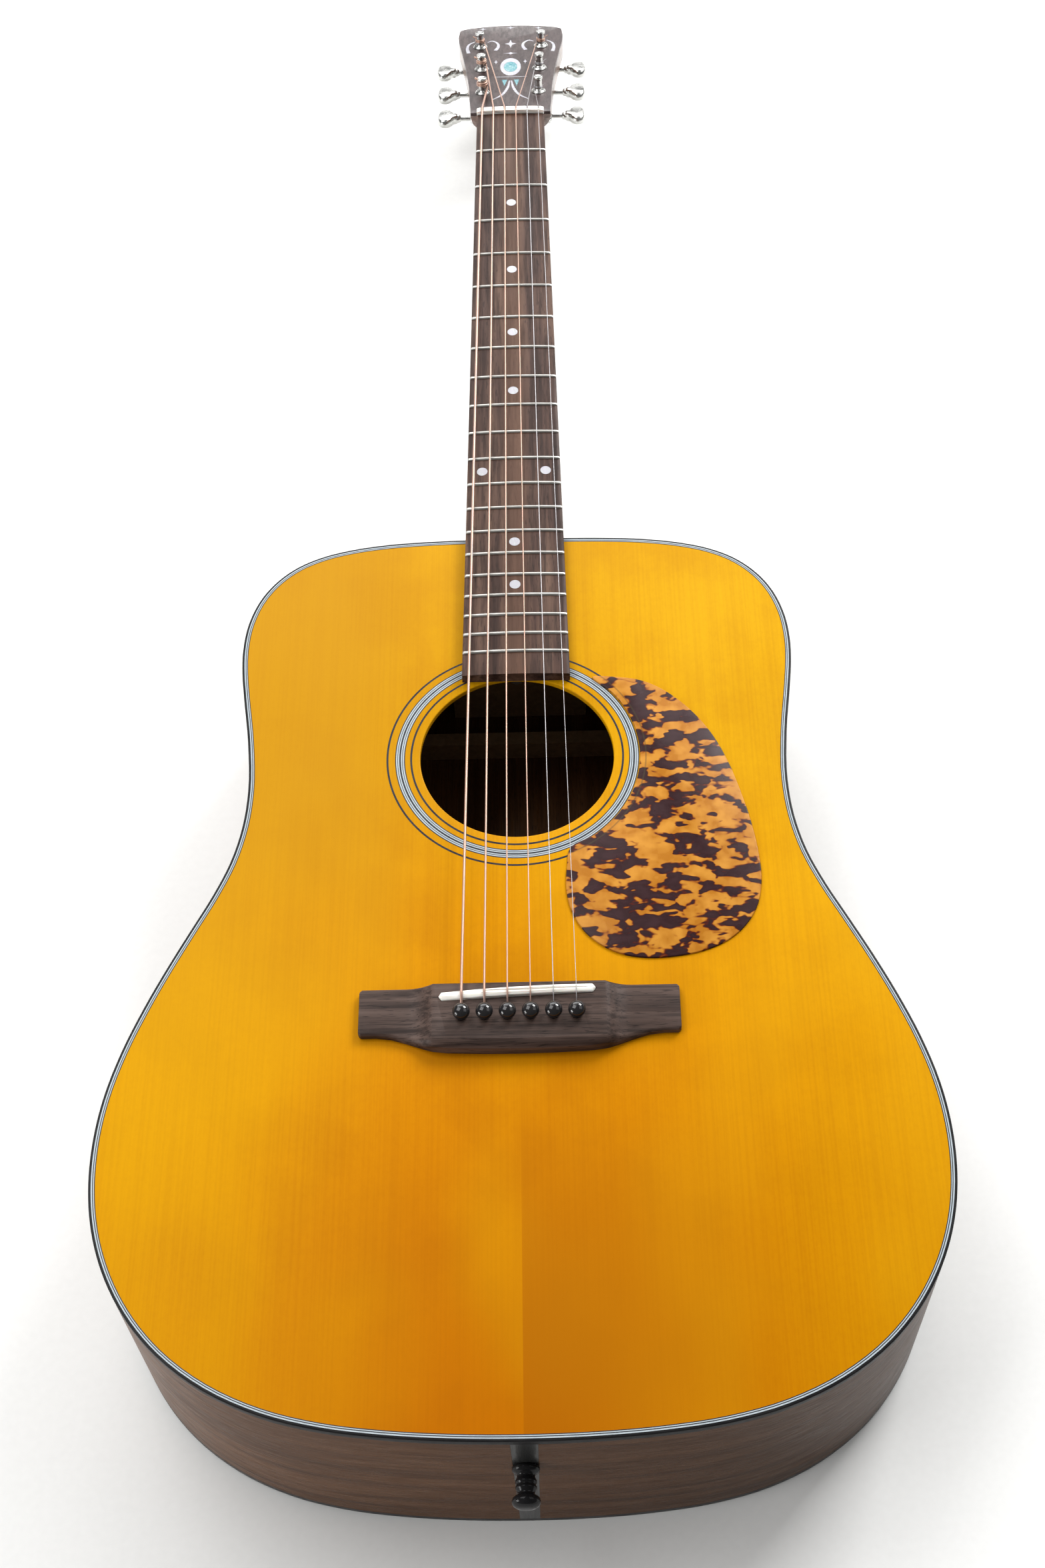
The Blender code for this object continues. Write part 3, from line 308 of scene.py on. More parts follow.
def soften(item, width):
    """Round an object's hard edges."""
    item.data.shade_smooth()
    item.data.set_sharp_from_angle(angle=SHARP)
    rounding = item.modifiers.new("rounding", "BEVEL")
    rounding.width = width
    rounding.segments = 3
    rounding.limit_method = "ANGLE"
    rounding.angle_limit = SHARP
    rounding.harden_normals = True


def dress(node, finish, bevel=0.0):
    """Give a CAD node its finish, and round its edges by a modifier."""
    item = frame["nodes"][node]
    item.data.materials.clear()
    item.data.materials.append(finish.material)
    if bevel:
        weld = item.modifiers.new("weld", "WELD")
        weld.merge_threshold = WELD
        soften(item, bevel)


# ---------------- finishes
SPRUCE_TONE_AND_SHADE = (                 # from the tail to the neck: darker and deeper orange at the tail, partly the wood's tone and partly painted shade
    (0.0, (0.368, 0.104, 0.0001)), (0.35, (0.465, 0.165, 0.0001)),
    (0.7, (0.515, 0.208, 0.0004)), (1.0, (0.515, 0.256, 0.0015)))
SPRUCE_EDGE = (0.585, 0.335, 0.0003)
SPRUCE_LINE = (0.285, 0.078, 0.0005)
# Pale, washed tone of a painted reflection haze on the bass side
SPRUCE_HAZE_REFLECTION = (0.382, 0.172, 0.0060)


class Finish:
    """Principled material with its record slot; its nodes are added by the methods."""

    def __init__(self, name, slot, colour, roughness, **sockets):
        self.slot = slot
        self.material = bpy.data.materials.new(name)
        self.material.use_nodes = True
        self.tree = self.material.node_tree
        self.shader = self.tree.nodes["Principled BSDF"]
        values = {"Base Color": (*colour, 1), "Roughness": roughness}
        values.update({key.replace("_", " "): value for key, value in sockets.items()})
        for key, value in values.items():
            self.shader.inputs[key].default_value = value
        self.place = self.add("ShaderNodeTexCoord").outputs["Object"]

    def add(self, kind, inputs=(), **settings):
        node = self.tree.nodes.new(kind)
        for key, value in settings.items():
            setattr(node, key, value)
        for key, value in enumerate(inputs) if not isinstance(inputs, dict) else inputs.items():
            if isinstance(value, bpy.types.NodeSocket):
                self.tree.links.new(value, node.inputs[key])
            else:
                node.inputs[key].default_value = value
        return node

    def stretch(self, scale, place=None):
        return self.add("ShaderNodeVectorMath", (place or self.place, scale),
                        operation="MULTIPLY").outputs[0]

    def noise(self, place, scale, detail=3.0, rough=0.5, distortion=0.0):
        return self.add("ShaderNodeTexNoise", {"Vector": place, "Scale": scale, "Detail": detail,
                        "Roughness": rough, "Distortion": distortion}).outputs["Fac"]

    def math(self, operation, *values):
        return self.add("ShaderNodeMath", values, operation=operation).outputs[0]

    def span(self, value, low, high, to_low=0.0, to_high=1.0):
        """Value from low to high mapped onto a new range, smoothly and clamped."""
        return self.add("ShaderNodeMapRange", (value, low, high, to_low, to_high),
                        interpolation_type="SMOOTHSTEP").outputs[0]

    def axes(self, place=None):
        return self.add("ShaderNodeSeparateXYZ", (place or self.place,)).outputs

    def joined(self, *values):
        return self.add("ShaderNodeCombineXYZ", values).outputs[0]

    def ramp(self, value, stops, interpolation="LINEAR"):
        node = self.add("ShaderNodeValToRGB", (value,))
        node.color_ramp.interpolation = interpolation
        marks = node.color_ramp.elements
        while len(marks) < len(stops):
            marks.new(0.5)
        for mark, (position, colour) in zip(marks, stops):
            mark.position = position
            mark.color = (*colour, 1)
        return node.outputs["Color"]

    def mix(self, factor, first, second):
        """Colour between two tones or sockets."""
        ends = [tone if isinstance(tone, bpy.types.NodeSocket) else (*tone, 1)
                for tone in (first, second)]
        return self.add("ShaderNodeMix", {0: factor, 6: ends[0], 7: ends[1]},
                        data_type="RGBA").outputs[2]

    def colour(self, socket):
        self.tree.links.new(socket, self.shader.inputs["Base Color"])
        return self

    def tint(self, factor, tone):
        """Mix one more tone over the colour."""
        under = self.shader.inputs["Base Color"].links[0].from_socket
        return self.colour(self.mix(factor, under, tone))

    def mottle(self, value, *stops):
        """Colour that follows a texture through (level, tone) stops."""
        return self.colour(self.ramp(value, stops))

    def rough(self, value, low, high):
        """Roughness that varies between two values with a texture."""
        self.tree.links.new(self.span(value, 0.3, 0.7, low, high), self.shader.inputs["Roughness"])
        return self

    def bump(self, height, distance, strength=1.0):
        node = self.add("ShaderNodeBump", {"Height": height, "Distance": distance,
                                           "Strength": strength})
        before = self.shader.inputs["Normal"].links
        if before:
            self.tree.links.new(before[0].from_socket, node.inputs["Normal"])
        self.tree.links.new(node.outputs[0], self.shader.inputs["Normal"])
        return self


def spruce():
    """Aged, lacquered spruce: two matched halves with fine grain, darker and deeper orange towards
    the tail (partly its tone, partly painted shade), with a painted reflection haze on the bass side.
    """
    wood = Finish("lacquered_spruce", "spruce_top", (0.80, 0.35, 0.01), 0.34,
                  Specular_IOR_Level=0.16, Specular_Tint=(1.0, 0.62, 0.12, 1))
    x, y, _ = wood.axes()
    out = wood.math("ABSOLUTE", x)
    lines, years = (
        wood.noise(wood.joined(out, wood.math("MULTIPLY", y, along), 0.0), scale, 2.0, rough)
        for along, scale, rough in ((0.008, 820, 0.55), (0.03, 95, 0.5)))
    silk, cloud, patch = (
        wood.noise(wood.stretch(along), scale, detail, rough)
        for along, scale, detail, rough in (
            ((0.8, 0.5, 1.0), 600, 3.0, 0.7), ((1.0, 0.6, 1.0), 9, 2.0, 0.5),
            ((1.0, 0.8, 1.0), 26, 3.0, 0.55)))
    treble = wood.math("MULTIPLY", wood.math("GREATER_THAN", x, 0.0), wood.span(x, 0.15, 0.0))
    seam = wood.math("MULTIPLY", treble, wood.span(y, -0.30, -0.47))
    # Painted reflection: a pale haze over the bass side of the top, towards the waist
    bass_haze = wood.math("MULTIPLY", wood.span(x, 0.0, -0.10), wood.span(y, -0.38, -0.14))
    # Ramp from tail to neck: partly the wood's tone, partly painted shade darkening the tail
    base = wood.ramp(wood.span(y, -0.49, -0.09), SPRUCE_TONE_AND_SHADE)
    for factor, tone in (
            (wood.span(patch, 0.42, 0.66, 0.0, 0.22), SPRUCE_LINE),
            (wood.math("MULTIPLY", wood.span(out, 0.03, 0.18), 0.35), SPRUCE_EDGE),
            (wood.span(lines, 0.38, 0.68, 0.0, 0.16), SPRUCE_LINE),
            (wood.span(years, 0.35, 0.75, 0.0, 0.06), SPRUCE_LINE),
            (wood.span(silk, 0.40, 0.70, 0.0, 0.10), SPRUCE_LINE),
            (wood.span(cloud, 0.40, 0.70, 0.0, 0.22), SPRUCE_EDGE),
            (wood.math("MULTIPLY", seam, 0.70), SPRUCE_LINE),
            (wood.math("MULTIPLY", bass_haze, 0.70), SPRUCE_HAZE_REFLECTION)):
        base = wood.mix(factor, base, tone)
    wood.colour(base).rough(cloud, 0.30, 0.40)
    return wood.bump(lines, 0.00003, 0.4)


def timber(name, slot, tones, along, roughness, pores=0.5, coat=0.0, seed=0.0, shine=0.3):
    """Dark hardwood with open pores. Along is its grain direction, 0, 1 or 2."""
    wood = Finish(name, slot, tones[1], roughness, Coat_Weight=coat, Coat_Roughness=0.12,
                  Specular_IOR_Level=shine)
    squeeze = [1.0, 1.0, 1.0]
    squeeze[along] = 0.035
    shifted = wood.add("ShaderNodeVectorMath", (wood.place, (seed, seed * 2, seed * 3)),
                       operation="ADD").outputs[0]
    fibre = wood.stretch(tuple(squeeze), shifted)
    bands = wood.noise(fibre, 130, 3.0, 0.6, 0.4)
    streaks = wood.noise(fibre, 420, 3.0, 0.65)
    squeeze[along] = 0.09
    dashes = wood.noise(wood.stretch(tuple(squeeze), shifted), 1500, 1.0, 0.5)
    base = wood.ramp(bands, ((0.30, tones[0]), (0.48, tones[1]), (0.72, tones[2])))
    base = wood.mix(wood.span(streaks, 0.42, 0.66, 0.0, 0.75), base, tones[0])
    hollow = wood.span(dashes, 0.60, 0.70, 0.0, pores)
    base = wood.mix(hollow, base, tuple(tone * 0.25 for tone in tones[0]))
    wood.colour(base).rough(streaks, roughness - 0.06, roughness + 0.08)
    return wood.bump(wood.math("SUBTRACT", streaks, hollow), 0.00008, 0.35)


def raw_spruce():
    """Unlacquered brace wood."""
    wood = Finish("bare_brace_wood", "raw_wood", (0.26, 0.16, 0.08), 0.7)
    fibre = wood.noise(wood.stretch((1.0, 1.0, 1.0)), 260, 4.0, 0.7, 0.5)
    wood.mottle(fibre, (0.3, (0.20, 0.12, 0.055)), (0.7, (0.30, 0.19, 0.10)))
    return wood.bump(fibre, 0.0001, 0.4)


def black(name, low, high, level):
    """Black plastic, its roughness between two values."""
    plastic = Finish(name, "black_plastic", (0.010, 0.010, 0.011), low, Specular_IOR_Level=level)
    smears = plastic.noise(plastic.place, 90, 4.0, 0.65)
    plastic.mottle(smears, (0.3, (0.008, 0.008, 0.009)), (0.8, (0.016, 0.015, 0.015)))
    plastic.rough(smears, low, high)
    return plastic.bump(plastic.noise(plastic.place, 900, 2.0), 0.00001, 0.2)


HARDWOOD = ((0.052, 0.020, 0.006), (0.092, 0.038, 0.013), (0.128, 0.058, 0.024))


def bent_wood():
    """Body hardwood with its grain along the bent sides, and painted shade darkening the treble side.
    """
    wood = Finish("body_mahogany_bent", "dark_body_wood", HARDWOOD[1], 0.30,
                  Specular_IOR_Level=0.05)
    bands = wood.noise(wood.stretch((0.05, 0.05, 1.0)), 150, 3.0, 0.6, 0.3)
    fibres = wood.noise(wood.stretch((0.08, 0.08, 1.0)), 900, 2.0, 0.6)
    base = wood.ramp(bands, tuple(zip((0.30, 0.5, 0.72), HARDWOOD)))
    wood.colour(wood.mix(wood.span(fibres, 0.45, 0.70, 0.0, 0.35), base, HARDWOOD[0]))
    # Painted shade: the treble side darkened towards a deeper tone
    wood.tint(wood.span(wood.axes()[0], -0.10, 0.12, 0.0, 0.40), (0.020, 0.008, 0.003))
    return wood.rough(fibres, 0.26, 0.38).bump(fibres, 0.00006, 0.3)


def graft_wood():
    tones = ((0.014, 0.014, 0.014), (0.024, 0.024, 0.023), (0.036, 0.035, 0.033))
    return timber("ebonised_graft", "black_plastic", tones, 2, 0.34, pores=0.3, coat=0.25,
                  seed=3.0)


def line_finish(name, tone, slot):
    """Thin inlaid line of dyed or plain wood fibre."""
    line = Finish(name, slot, tone, 0.40, Specular_IOR_Level=0.25)
    fleck = line.noise(line.place, 180, 3.0, 0.6)
    darker = tuple(value * 0.9 for value in tone)
    return line.mottle(fleck, (0.3, darker), (0.7, tone)).rough(fleck, 0.28, 0.42)


def tortoise():
    """Amber plate with rounded dark patches that bleed orange and red at their rims."""
    plastic = Finish("tortoise_plate", "tortoise_plastic", (0.38, 0.16, 0.02), 0.30,
                     Coat_Weight=0.05, Coat_Roughness=0.10, Specular_IOR_Level=0.12)
    drawn = plastic.stretch((0.68, 1.20, 1.0))
    patch = plastic.noise(drawn, 124, 2.0, 0.55, 0.25)
    cloud = plastic.noise(plastic.place, 120, 2.0)
    amber = plastic.ramp(cloud, ((0.35, (0.34, 0.125, 0.010)), (0.65, (0.47, 0.205, 0.024))))
    depth = plastic.ramp(patch, ((0.0, (0, 0, 0)), (0.470, (0, 0, 0)), (0.512, (1, 1, 1))))
    tone = plastic.ramp(patch, ((0.0, (0.26, 0.070, 0.006)), (0.492, (0.26, 0.070, 0.006)),
                                (0.516, (0.070, 0.010, 0.005)), (0.538, (0.024, 0.009, 0.010)),
                                (0.70, (0.034, 0.014, 0.016))))
    base = plastic.mix(depth, amber, tone)
    middle = GUITAR @ Vector((*HOLE_CENTRE, 0))
    radius = plastic.add("ShaderNodeVectorMath", (plastic.place, middle),
                         operation="DISTANCE").outputs["Value"]
    ghost = plastic.math("LESS_THAN", plastic.math("ABSOLUTE", plastic.math(
        "SUBTRACT", radius, ROSETTE_OUTER)), 0.0004)
    base = plastic.mix(plastic.math("MULTIPLY", ghost, 0.45), base, (0.05, 0.04, 0.02))
    plastic.colour(base).rough(cloud, 0.26, 0.34)
    return plastic.bump(cloud, 0.00002, 0.2)


def bone():
    """Polished bone with faint fibres."""
    plate = Finish("polished_bone", "bone", (0.80, 0.78, 0.72), 0.34, Subsurface_Weight=0.15,
                   Subsurface_Scale=0.002)
    fibre = plate.noise(plate.stretch((0.15, 1.0, 1.0)), 900, 3.0)
    plate.mottle(fibre, (0.35, (0.74, 0.71, 0.64)), (0.65, (0.83, 0.81, 0.76)))
    return plate.rough(fibre, 0.28, 0.42)


def metal(name, slot, tone, low, high, scale=160):
    """Bare or plated metal with handling marks."""
    plate = Finish(name, slot, tone, low, Metallic=1.0)
    marks = plate.noise(plate.place, scale, 5.0, 0.7)
    dull = tuple(value * 0.82 for value in tone)
    plate.mottle(marks, (0.30, dull), (0.60, tone)).rough(marks, low, high)
    return plate.bump(marks, 0.00002, 0.25)


def wound(name, slot, tone):
    """String wrapped with fine wire: ridges across its length, with painted shade in the grooves
    between the turns.
    """
    wire = Finish(name, slot, tone, 0.38, Metallic=0.75)
    ridges = wire.add("ShaderNodeTexWave", {"Vector": wire.place, "Scale": 900.0,
                      "Distortion": 0.0}, wave_type="BANDS", bands_direction="Y").outputs["Fac"]
    wear = wire.noise(wire.stretch((1.0, 0.2, 1.0)), 60, 3.0)
    lit = wire.ramp(wear, ((0.3, tuple(value * 0.85 for value in tone)), (0.7, tone)))
    # Painted shade: darker colour in the grooves between the wire's turns
    wire.colour(wire.mix(wire.span(ridges, 0.0, 0.5, 0.20, 0.0), lit,
                         tuple(value * 0.6 for value in tone)))
    return wire.bump(ridges, 0.00003, 0.3)


def pearl():
    """White shell with a faint pink and green play of colour."""
    shell = Finish("white_pearl", "bone", (0.41, 0.40, 0.44), 0.30, Coat_Weight=0.1)
    layers = shell.noise(shell.stretch((1.0, 0.5, 1.0)), 420, 3.0, 0.6, 1.5)
    shell.mottle(layers, (0.30, (0.37, 0.37, 0.42)), (0.45, (0.43, 0.41, 0.46)),
                 (0.60, (0.40, 0.42, 0.43)), (0.75, (0.46, 0.44, 0.48)))
    return shell.rough(layers, 0.16, 0.30)


def abalone():
    """Blue-green shell."""
    shell = Finish("green_abalone", "bone", (0.16, 0.36, 0.40), 0.3, Coat_Weight=0.1)
    layers = shell.noise(shell.stretch((1.0, 0.6, 1.0)), 330, 4.0, 0.65, 2.0)
    shell.mottle(layers, (0.30, (0.06, 0.17, 0.22)), (0.45, (0.12, 0.28, 0.32)),
                 (0.58, (0.19, 0.34, 0.35)), (0.75, (0.28, 0.37, 0.42)))
    return shell.rough(layers, 0.14, 0.28)


# ---------------- body
def body_outline():
    return smooth(rims("top_binding", GUITAR, 0.0)[0], OUTLINE_STEPS)


def back_z(x, y):
    """Height of the back's arched outer face, in the guitar frame."""
    arch = max(0.0, abs(x) - BACK_FLAT_HALF) ** 2 / (2 * BACK_RADIUS)
    lean, base = GUITAR[2][1], GUITAR[2][3]
    return (arch - base - lean * y) / GUITAR[2][2]


def on_back(outline, height):
    return [(x, y, back_z(x, y) + height) for x, y in outline]


def hole():
    """Centre and radius of the soundhole, from the CAD soundboard."""
    ring = rims("soundboard", GUITAR, 0.0)[1]
    centre = tuple(sum(point[axis] for point in ring) / len(ring) for axis in (0, 1))
    return centre, math.dist(ring[0], centre)


HOLE_CENTRE, HOLE_RADIUS = hole()
ROSETTE_BAND = 0.0580            # radius where the rosette's middle band starts
ROSETTE_LINES = mm(              # widths of its lines, a dark one first, then in turn
    (0.50, 0.66, 0.36, 0.62, 0.85, 0.62, 0.36, 0.66, 0.50))
ROSETTE_INNER = 0.0543           # inner radii of the two single lines, and their width
ROSETTE_OUTER = 0.0666
ROSETTE_THIN = 0.0010
PURFLING_LINES = mm((0.60, 0.44, 0.42, 0.42))
BACK_LINE = 0.0011
EDGE_ROUND = 0.0006
CORNER = [(EDGE_ROUND * (1 - math.cos(angle)), EDGE_ROUND * (1 - math.sin(angle)))
          for angle in np.linspace(0.0, math.pi / 2, 5)]


def make_soundboard(outline, finish):
    """Plate between the soundhole and the binding, with a rounded soundhole edge."""
    rim = inset(outline, BINDING_WIDTH)
    bearings = [math.atan2(y - HOLE_CENTRE[1], x - HOLE_CENTRE[0]) for x, y in rim]

    def ring(radius, z):
        return [(HOLE_CENTRE[0] + radius * math.cos(a), HOLE_CENTRE[1] + radius * math.sin(a), z)
                for a in bearings]

    rings = [ring(HOLE_RADIUS, -TOP_THICKNESS)]
    rings += [ring(HOLE_RADIUS + near, -down) for near, down in CORNER]
    rings += [ring(ROSETTE_OUTER + 0.002, 0.0), level(rim, 0.0), level(rim, -TOP_THICKNESS)]
    top = piece("spruce_plate", Shape().skin(rings, closed=True), finish)
    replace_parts(top, "soundboard")


def ring_lines(start, widths):
    """Radii or insets of a band's lines, in two lists that take them in turn."""
    limits = ([], [])
    for index, width in enumerate(widths):
        limits[index % 2].append((start, start + width))
        start += width
    return limits


def make_rosette(dark, pale):
    dark_rings, pale_rings = ring_lines(ROSETTE_BAND, ROSETTE_LINES)
    dark_rings += [(radius, radius + ROSETTE_THIN) for radius in (ROSETTE_INNER, ROSETTE_OUTER)]
    for name, limits, finish in (("rosette_dark_lines", dark_rings, dark),
                                 ("rosette_pale_lines", pale_rings, pale)):
        shape = Shape()
        for low, high in limits:
            shape.hoop(circle(high, HOLE_SIDES, HOLE_CENTRE), circle(low, HOLE_SIDES, HOLE_CENTRE),
                       -0.0006, PROUD)
        piece(name, shape, finish)


def make_purfling(outline, dark, pale):
    pale_bands, dark_bands = ring_lines(BINDING_WIDTH, PURFLING_LINES)
    for name, bands, finish in (("top_purfling_dark", dark_bands, dark),
                                ("top_purfling_pale", pale_bands, pale)):
        shape = Shape()
        for near, far in bands:
            shape.hoop(inset(outline, near), inset(outline, far), -0.0012, PROUD)
        piece(name, shape, finish)
    near, far = inset(outline, BINDING_WIDTH), inset(outline, BINDING_WIDTH + BACK_LINE)
    rings = [on_back(near, 0.0012), on_back(near, -PROUD), on_back(far, -PROUD),
             on_back(far, 0.0012)]
    piece("back_purfling", Shape().skin(rings, closed=True), pale)


def make_bindings(outline, finish):
    """Bindings with their outer corner rounded over."""
    inner = inset(outline, BINDING_WIDTH)
    rings = [level(inner, 0.0), level(inner, -BINDING_HEIGHT), level(outline, -BINDING_HEIGHT)]
    rings += [level(inset(outline, near), -down) for near, down in CORNER]
    top = piece("upper_binding", Shape().skin(rings, closed=True), finish)
    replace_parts(top, "top_binding")
    rings = [on_back(inner, 0.0), on_back(inner, BINDING_HEIGHT), on_back(outline, BINDING_HEIGHT)]
    rings += [on_back(inset(outline, near), up) for near, up in CORNER]
    back = piece("lower_binding", Shape().skin(rings, closed=True), finish)
    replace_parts(back, "back_binding")


def resample(points, count):
    """Points at equal steps along an open line."""
    points = np.array(points)
    travelled = np.concatenate([[0], np.cumsum(np.linalg.norm(np.diff(points, axis=0), axis=1))])
    at = np.linspace(0, travelled[-1], count)
    return list(zip(*(np.interp(at, travelled, line).tolist() for line in points.T)))


def side_line(outline, sign, start):
    """Outline of one side from the end graft's edge to the neck, at one height."""
    treble = [(x * sign, y) for x, y in outline][::sign]
    tail = min(treble, key=lambda point: point[1])
    neck = max(treble, key=lambda point: point[1])
    first = treble.index(tail)
    order = treble[first:] + treble[:first]
    line = [(x, y) for x, y in order[:order.index(neck) + 1]
            if x > (start if y < tail[1] / 2 else TENON_HALF_WIDTH)]
    line = [(start, tail[1])] + line + [(TENON_HALF_WIDTH, neck[1])]
    return [(x * sign, y) for x, y in resample(line, SIDE_STEPS)]


def graft_half(share):
    return (GRAFT_TOP_WIDTH + (GRAFT_BOTTOM_WIDTH - GRAFT_TOP_WIDTH) * share) / 2


def wall(rows, inward):
    """Curved wall between rows of points, thickened towards the inside of the body."""
    def moved(row):
        flat = [(x, y) for x, y, _ in row]
        result = []
        for i, (x, y, z) in enumerate(row):
            before, after = flat[max(i - 1, 0)], flat[min(i + 1, len(flat) - 1)]
            along = (Vector(after) - Vector(before)).normalized() * inward
            result.append((x - along.y * SIDE_THICKNESS, y + along.x * SIDE_THICKNESS, z))
        return result

    return [row + moved(row)[::-1] for row in rows]


def side_row(line, share):
    """Line on the side, at a share of the way from the top binding to the back binding."""
    return [(x, y, share * (back_z(x, y) + BINDING_HEIGHT) - (1 - share) * BINDING_HEIGHT)
            for x, y in line]


def make_sides(outline, side_finish, graft_finish):
    shares = [step / 6 for step in range(7)]
    for sign, name, node in ((-1, "bass_side", "side_bass"), (1, "treble_side", "side_treble")):
        rows = [side_row(side_line(outline, sign, graft_half(share) + PROUD), share)
                for share in shares]
        side = piece(name, Shape().skin(wall(rows, sign)), side_finish)
        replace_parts(side, node)
    tail_y = min(y for _, y in outline)
    rows = [side_row([(graft_half(share) * step / 6, tail_y) for step in range(-6, 7)], share)
            for share in shares]
    graft = piece("tail_graft", Shape().skin(wall(rows, 1)), graft_finish)
    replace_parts(graft, "end_graft")


def make_back(outline, finish, dark, pale):
    """Arched back: rings that shrink towards its middle, and a line along the joint."""
    rim = inset(outline, BINDING_WIDTH)
    centre = (0.0, sum(y for _, y in rim) / len(rim))
    shares = (1.0, 0.85, 0.7, 0.5, 0.3, 0.12)

    def shrunk(share):
        return [(centre[0] + (x - centre[0]) * share, centre[1] + (y - centre[1]) * share)
                for x, y in rim]

    rings = [on_back(shrunk(share), BACK_THICKNESS) for share in shares[::-1]]
    rings += [on_back(shrunk(share), 0.0) for share in shares]
    back = piece("arched_back", Shape().skin(rings), finish)
    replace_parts(back, "back_plate")
    low, high = min(y for _, y in rim), max(y for _, y in rim)
    for name, half, proud, tone in (("back_joint_pale", 0.0022, PROUD, pale),
                                    ("back_joint_dark", 0.0010, 2 * PROUD, dark)):
        corners = ((-half, low), (half, low), (half, high), (-half, high))
        piece(name, Shape().skin([on_back(corners, 0.001), on_back(corners, -proud)]), tone)


def make_pickguard(finish):
    """Thin plate with a soft upper edge and a smoothed outline."""
    box = local_box("pickguard")
    outline = smooth(rims("pickguard", GUITAR, box[1].z)[0], OUTLINE_STEPS)
    guard = piece("pickguard_plate", Shape().plate(outline, PROUD / 2, box[1].z - 0.0002, 0.0005),
                  finish)
    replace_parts(guard, "pickguard")


def profile(start, *rows):
    """Profile of a turned part beyond a start, from (distance, radius) in millimetres."""
    return [(start + along, radius) for along, radius in mm(rows)]


def make_end_pin(finish):
    """Turned strap pin with two beads between its flange and its cap."""
    box = local_box("end_pin")
    tail_y = min(y for _, y in body_outline())
    turned = profile(
        0.0, (-18, 3.0), (0, 3.6), (0.1, 5.6), (0.6, 6.1), (1.4, 6.2), (2.4, 6.0), (3.1, 5.2),
        (3.6, 4.2), (4.4, 3.9), (5.4, 4.2), (6.3, 4.7), (7.2, 4.7), (7.8, 4.3), (8.4, 4.3),
        (9.0, 4.7), (9.8, 4.7), (10.6, 4.2), (11.6, 3.7), (12.4, 4.0), (13.1, 5.2), (13.8, 6.0),
        (14.8, 6.3), (16.0, 6.2), (17.0, 5.6), (17.8, 4.4), (18.3, 2.6), (18.4, 0.8))
    place = (Matrix.Translation((0, tail_y, (box[0].z + box[1].z) / 2))
             @ Matrix.Rotation(math.pi / 2, 4, "X"))
    pin = piece("strap_pin", Shape().lathe(turned, 48, place), finish, sharp=BLUNT)
    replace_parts(pin, "end_pin")


# ---------------- neck
BOARD_LOW, BOARD_HIGH = local_box("fretboard")
NUT_Y = BOARD_HIGH.y
BOARD_TOP_Z = BOARD_HIGH.z - FRET_HEIGHT   # the CAD board has its frets joined to it


def board_widths():
    """Half width of the fretboard at its two ends."""
    board = frame["nodes"]["fretboard"].data
    corners = [GUITAR.inverted() @ vertex.co for vertex in board.vertices]
    return [(y, max(point.x for point in corners if abs(point.y - y) < 0.001))
            for y in (BOARD_LOW.y, NUT_Y)]


BOARD_WIDTHS = board_widths()


def half_board(y):
    return read(BOARD_WIDTHS, y)


def crown(x):
    """How far the radiused fretboard drops away from its middle."""
    return x * x / (2 * BOARD_RADIUS)


def head_side():
    """Half width of the headstock against the distance along its face, and its end curve."""
    ring = rims("headstock_veneer", HEAD, 0.0)[0]
    right = sorted((point for point in ring if point[0] > -1e-6), key=lambda point: point[1])
    return smooth([point for point in right if point[1] > 0.0004], 5, closed=False)


HEAD_RIGHT = head_side()


def head_half(y):
    return read([(point[1], point[0]) for point in HEAD_RIGHT], y)


def head_end(x):
    """Distance along the face of the headstock's end curve at a distance from its middle."""
    end = sorted((px, py) for px, py in HEAD_RIGHT if py >= HEAD_SHOULDER_Y)
    return read(end, abs(x))


def neck_ring(middle, apex, half, power, place=Matrix()):
    """Section of the neck: an arc from one edge through the apex, and the chord back."""
    middle, apex = Vector((0, *middle)), Vector((0, *apex))
    arc = []
    for angle in np.linspace(0.0, math.pi, NECK_STEPS + 1):
        across = half * math.copysign(abs(math.cos(angle)) ** power[0], math.cos(angle))
        arc.append(Vector((across, 0, 0)) + middle + (apex - middle) * math.sin(angle) ** power[1])
    chord = [Vector((point.x, 0, 0)) + middle for point in arc[-2:0:-1]]
    return [place @ point for point in arc + chord]


HEEL = (                         # ends of the arc (y, z), its apex (y, z) and its half width
    (0.3, -95, 22.2, -95, 13.2), (0.3, -80, 22.4, -87, 13.9), (0.3, -62, 23.1, -76, 15.2),
    (0.3, -42, 24.7, -60, 18.2), (0.3, -22, 27.7, -45, 23.2), (0.3, -6, 32.2, -34, 26.2),
    (7, 0, 39, -25.5, 27), (22, 0, 47.5, -20, 26.6), (40, 0, 58, -17.4, 26.2),
    (62, 0, 72, -16.4, 25.7))
SHAFT_DEPTHS = ((0.08, 0.0162), (0.15, 0.0158), (0.25, 0.0150), (NUT_Y - 0.03, 0.0142))
HEEL_POWER, SHAFT_POWER, HEAD_POWER = (1.0, 0.9), (0.85, 0.80), (0.12, 0.12)


def between(first, second, share):
    return tuple(a + (b - a) * share for a, b in zip(first, second))


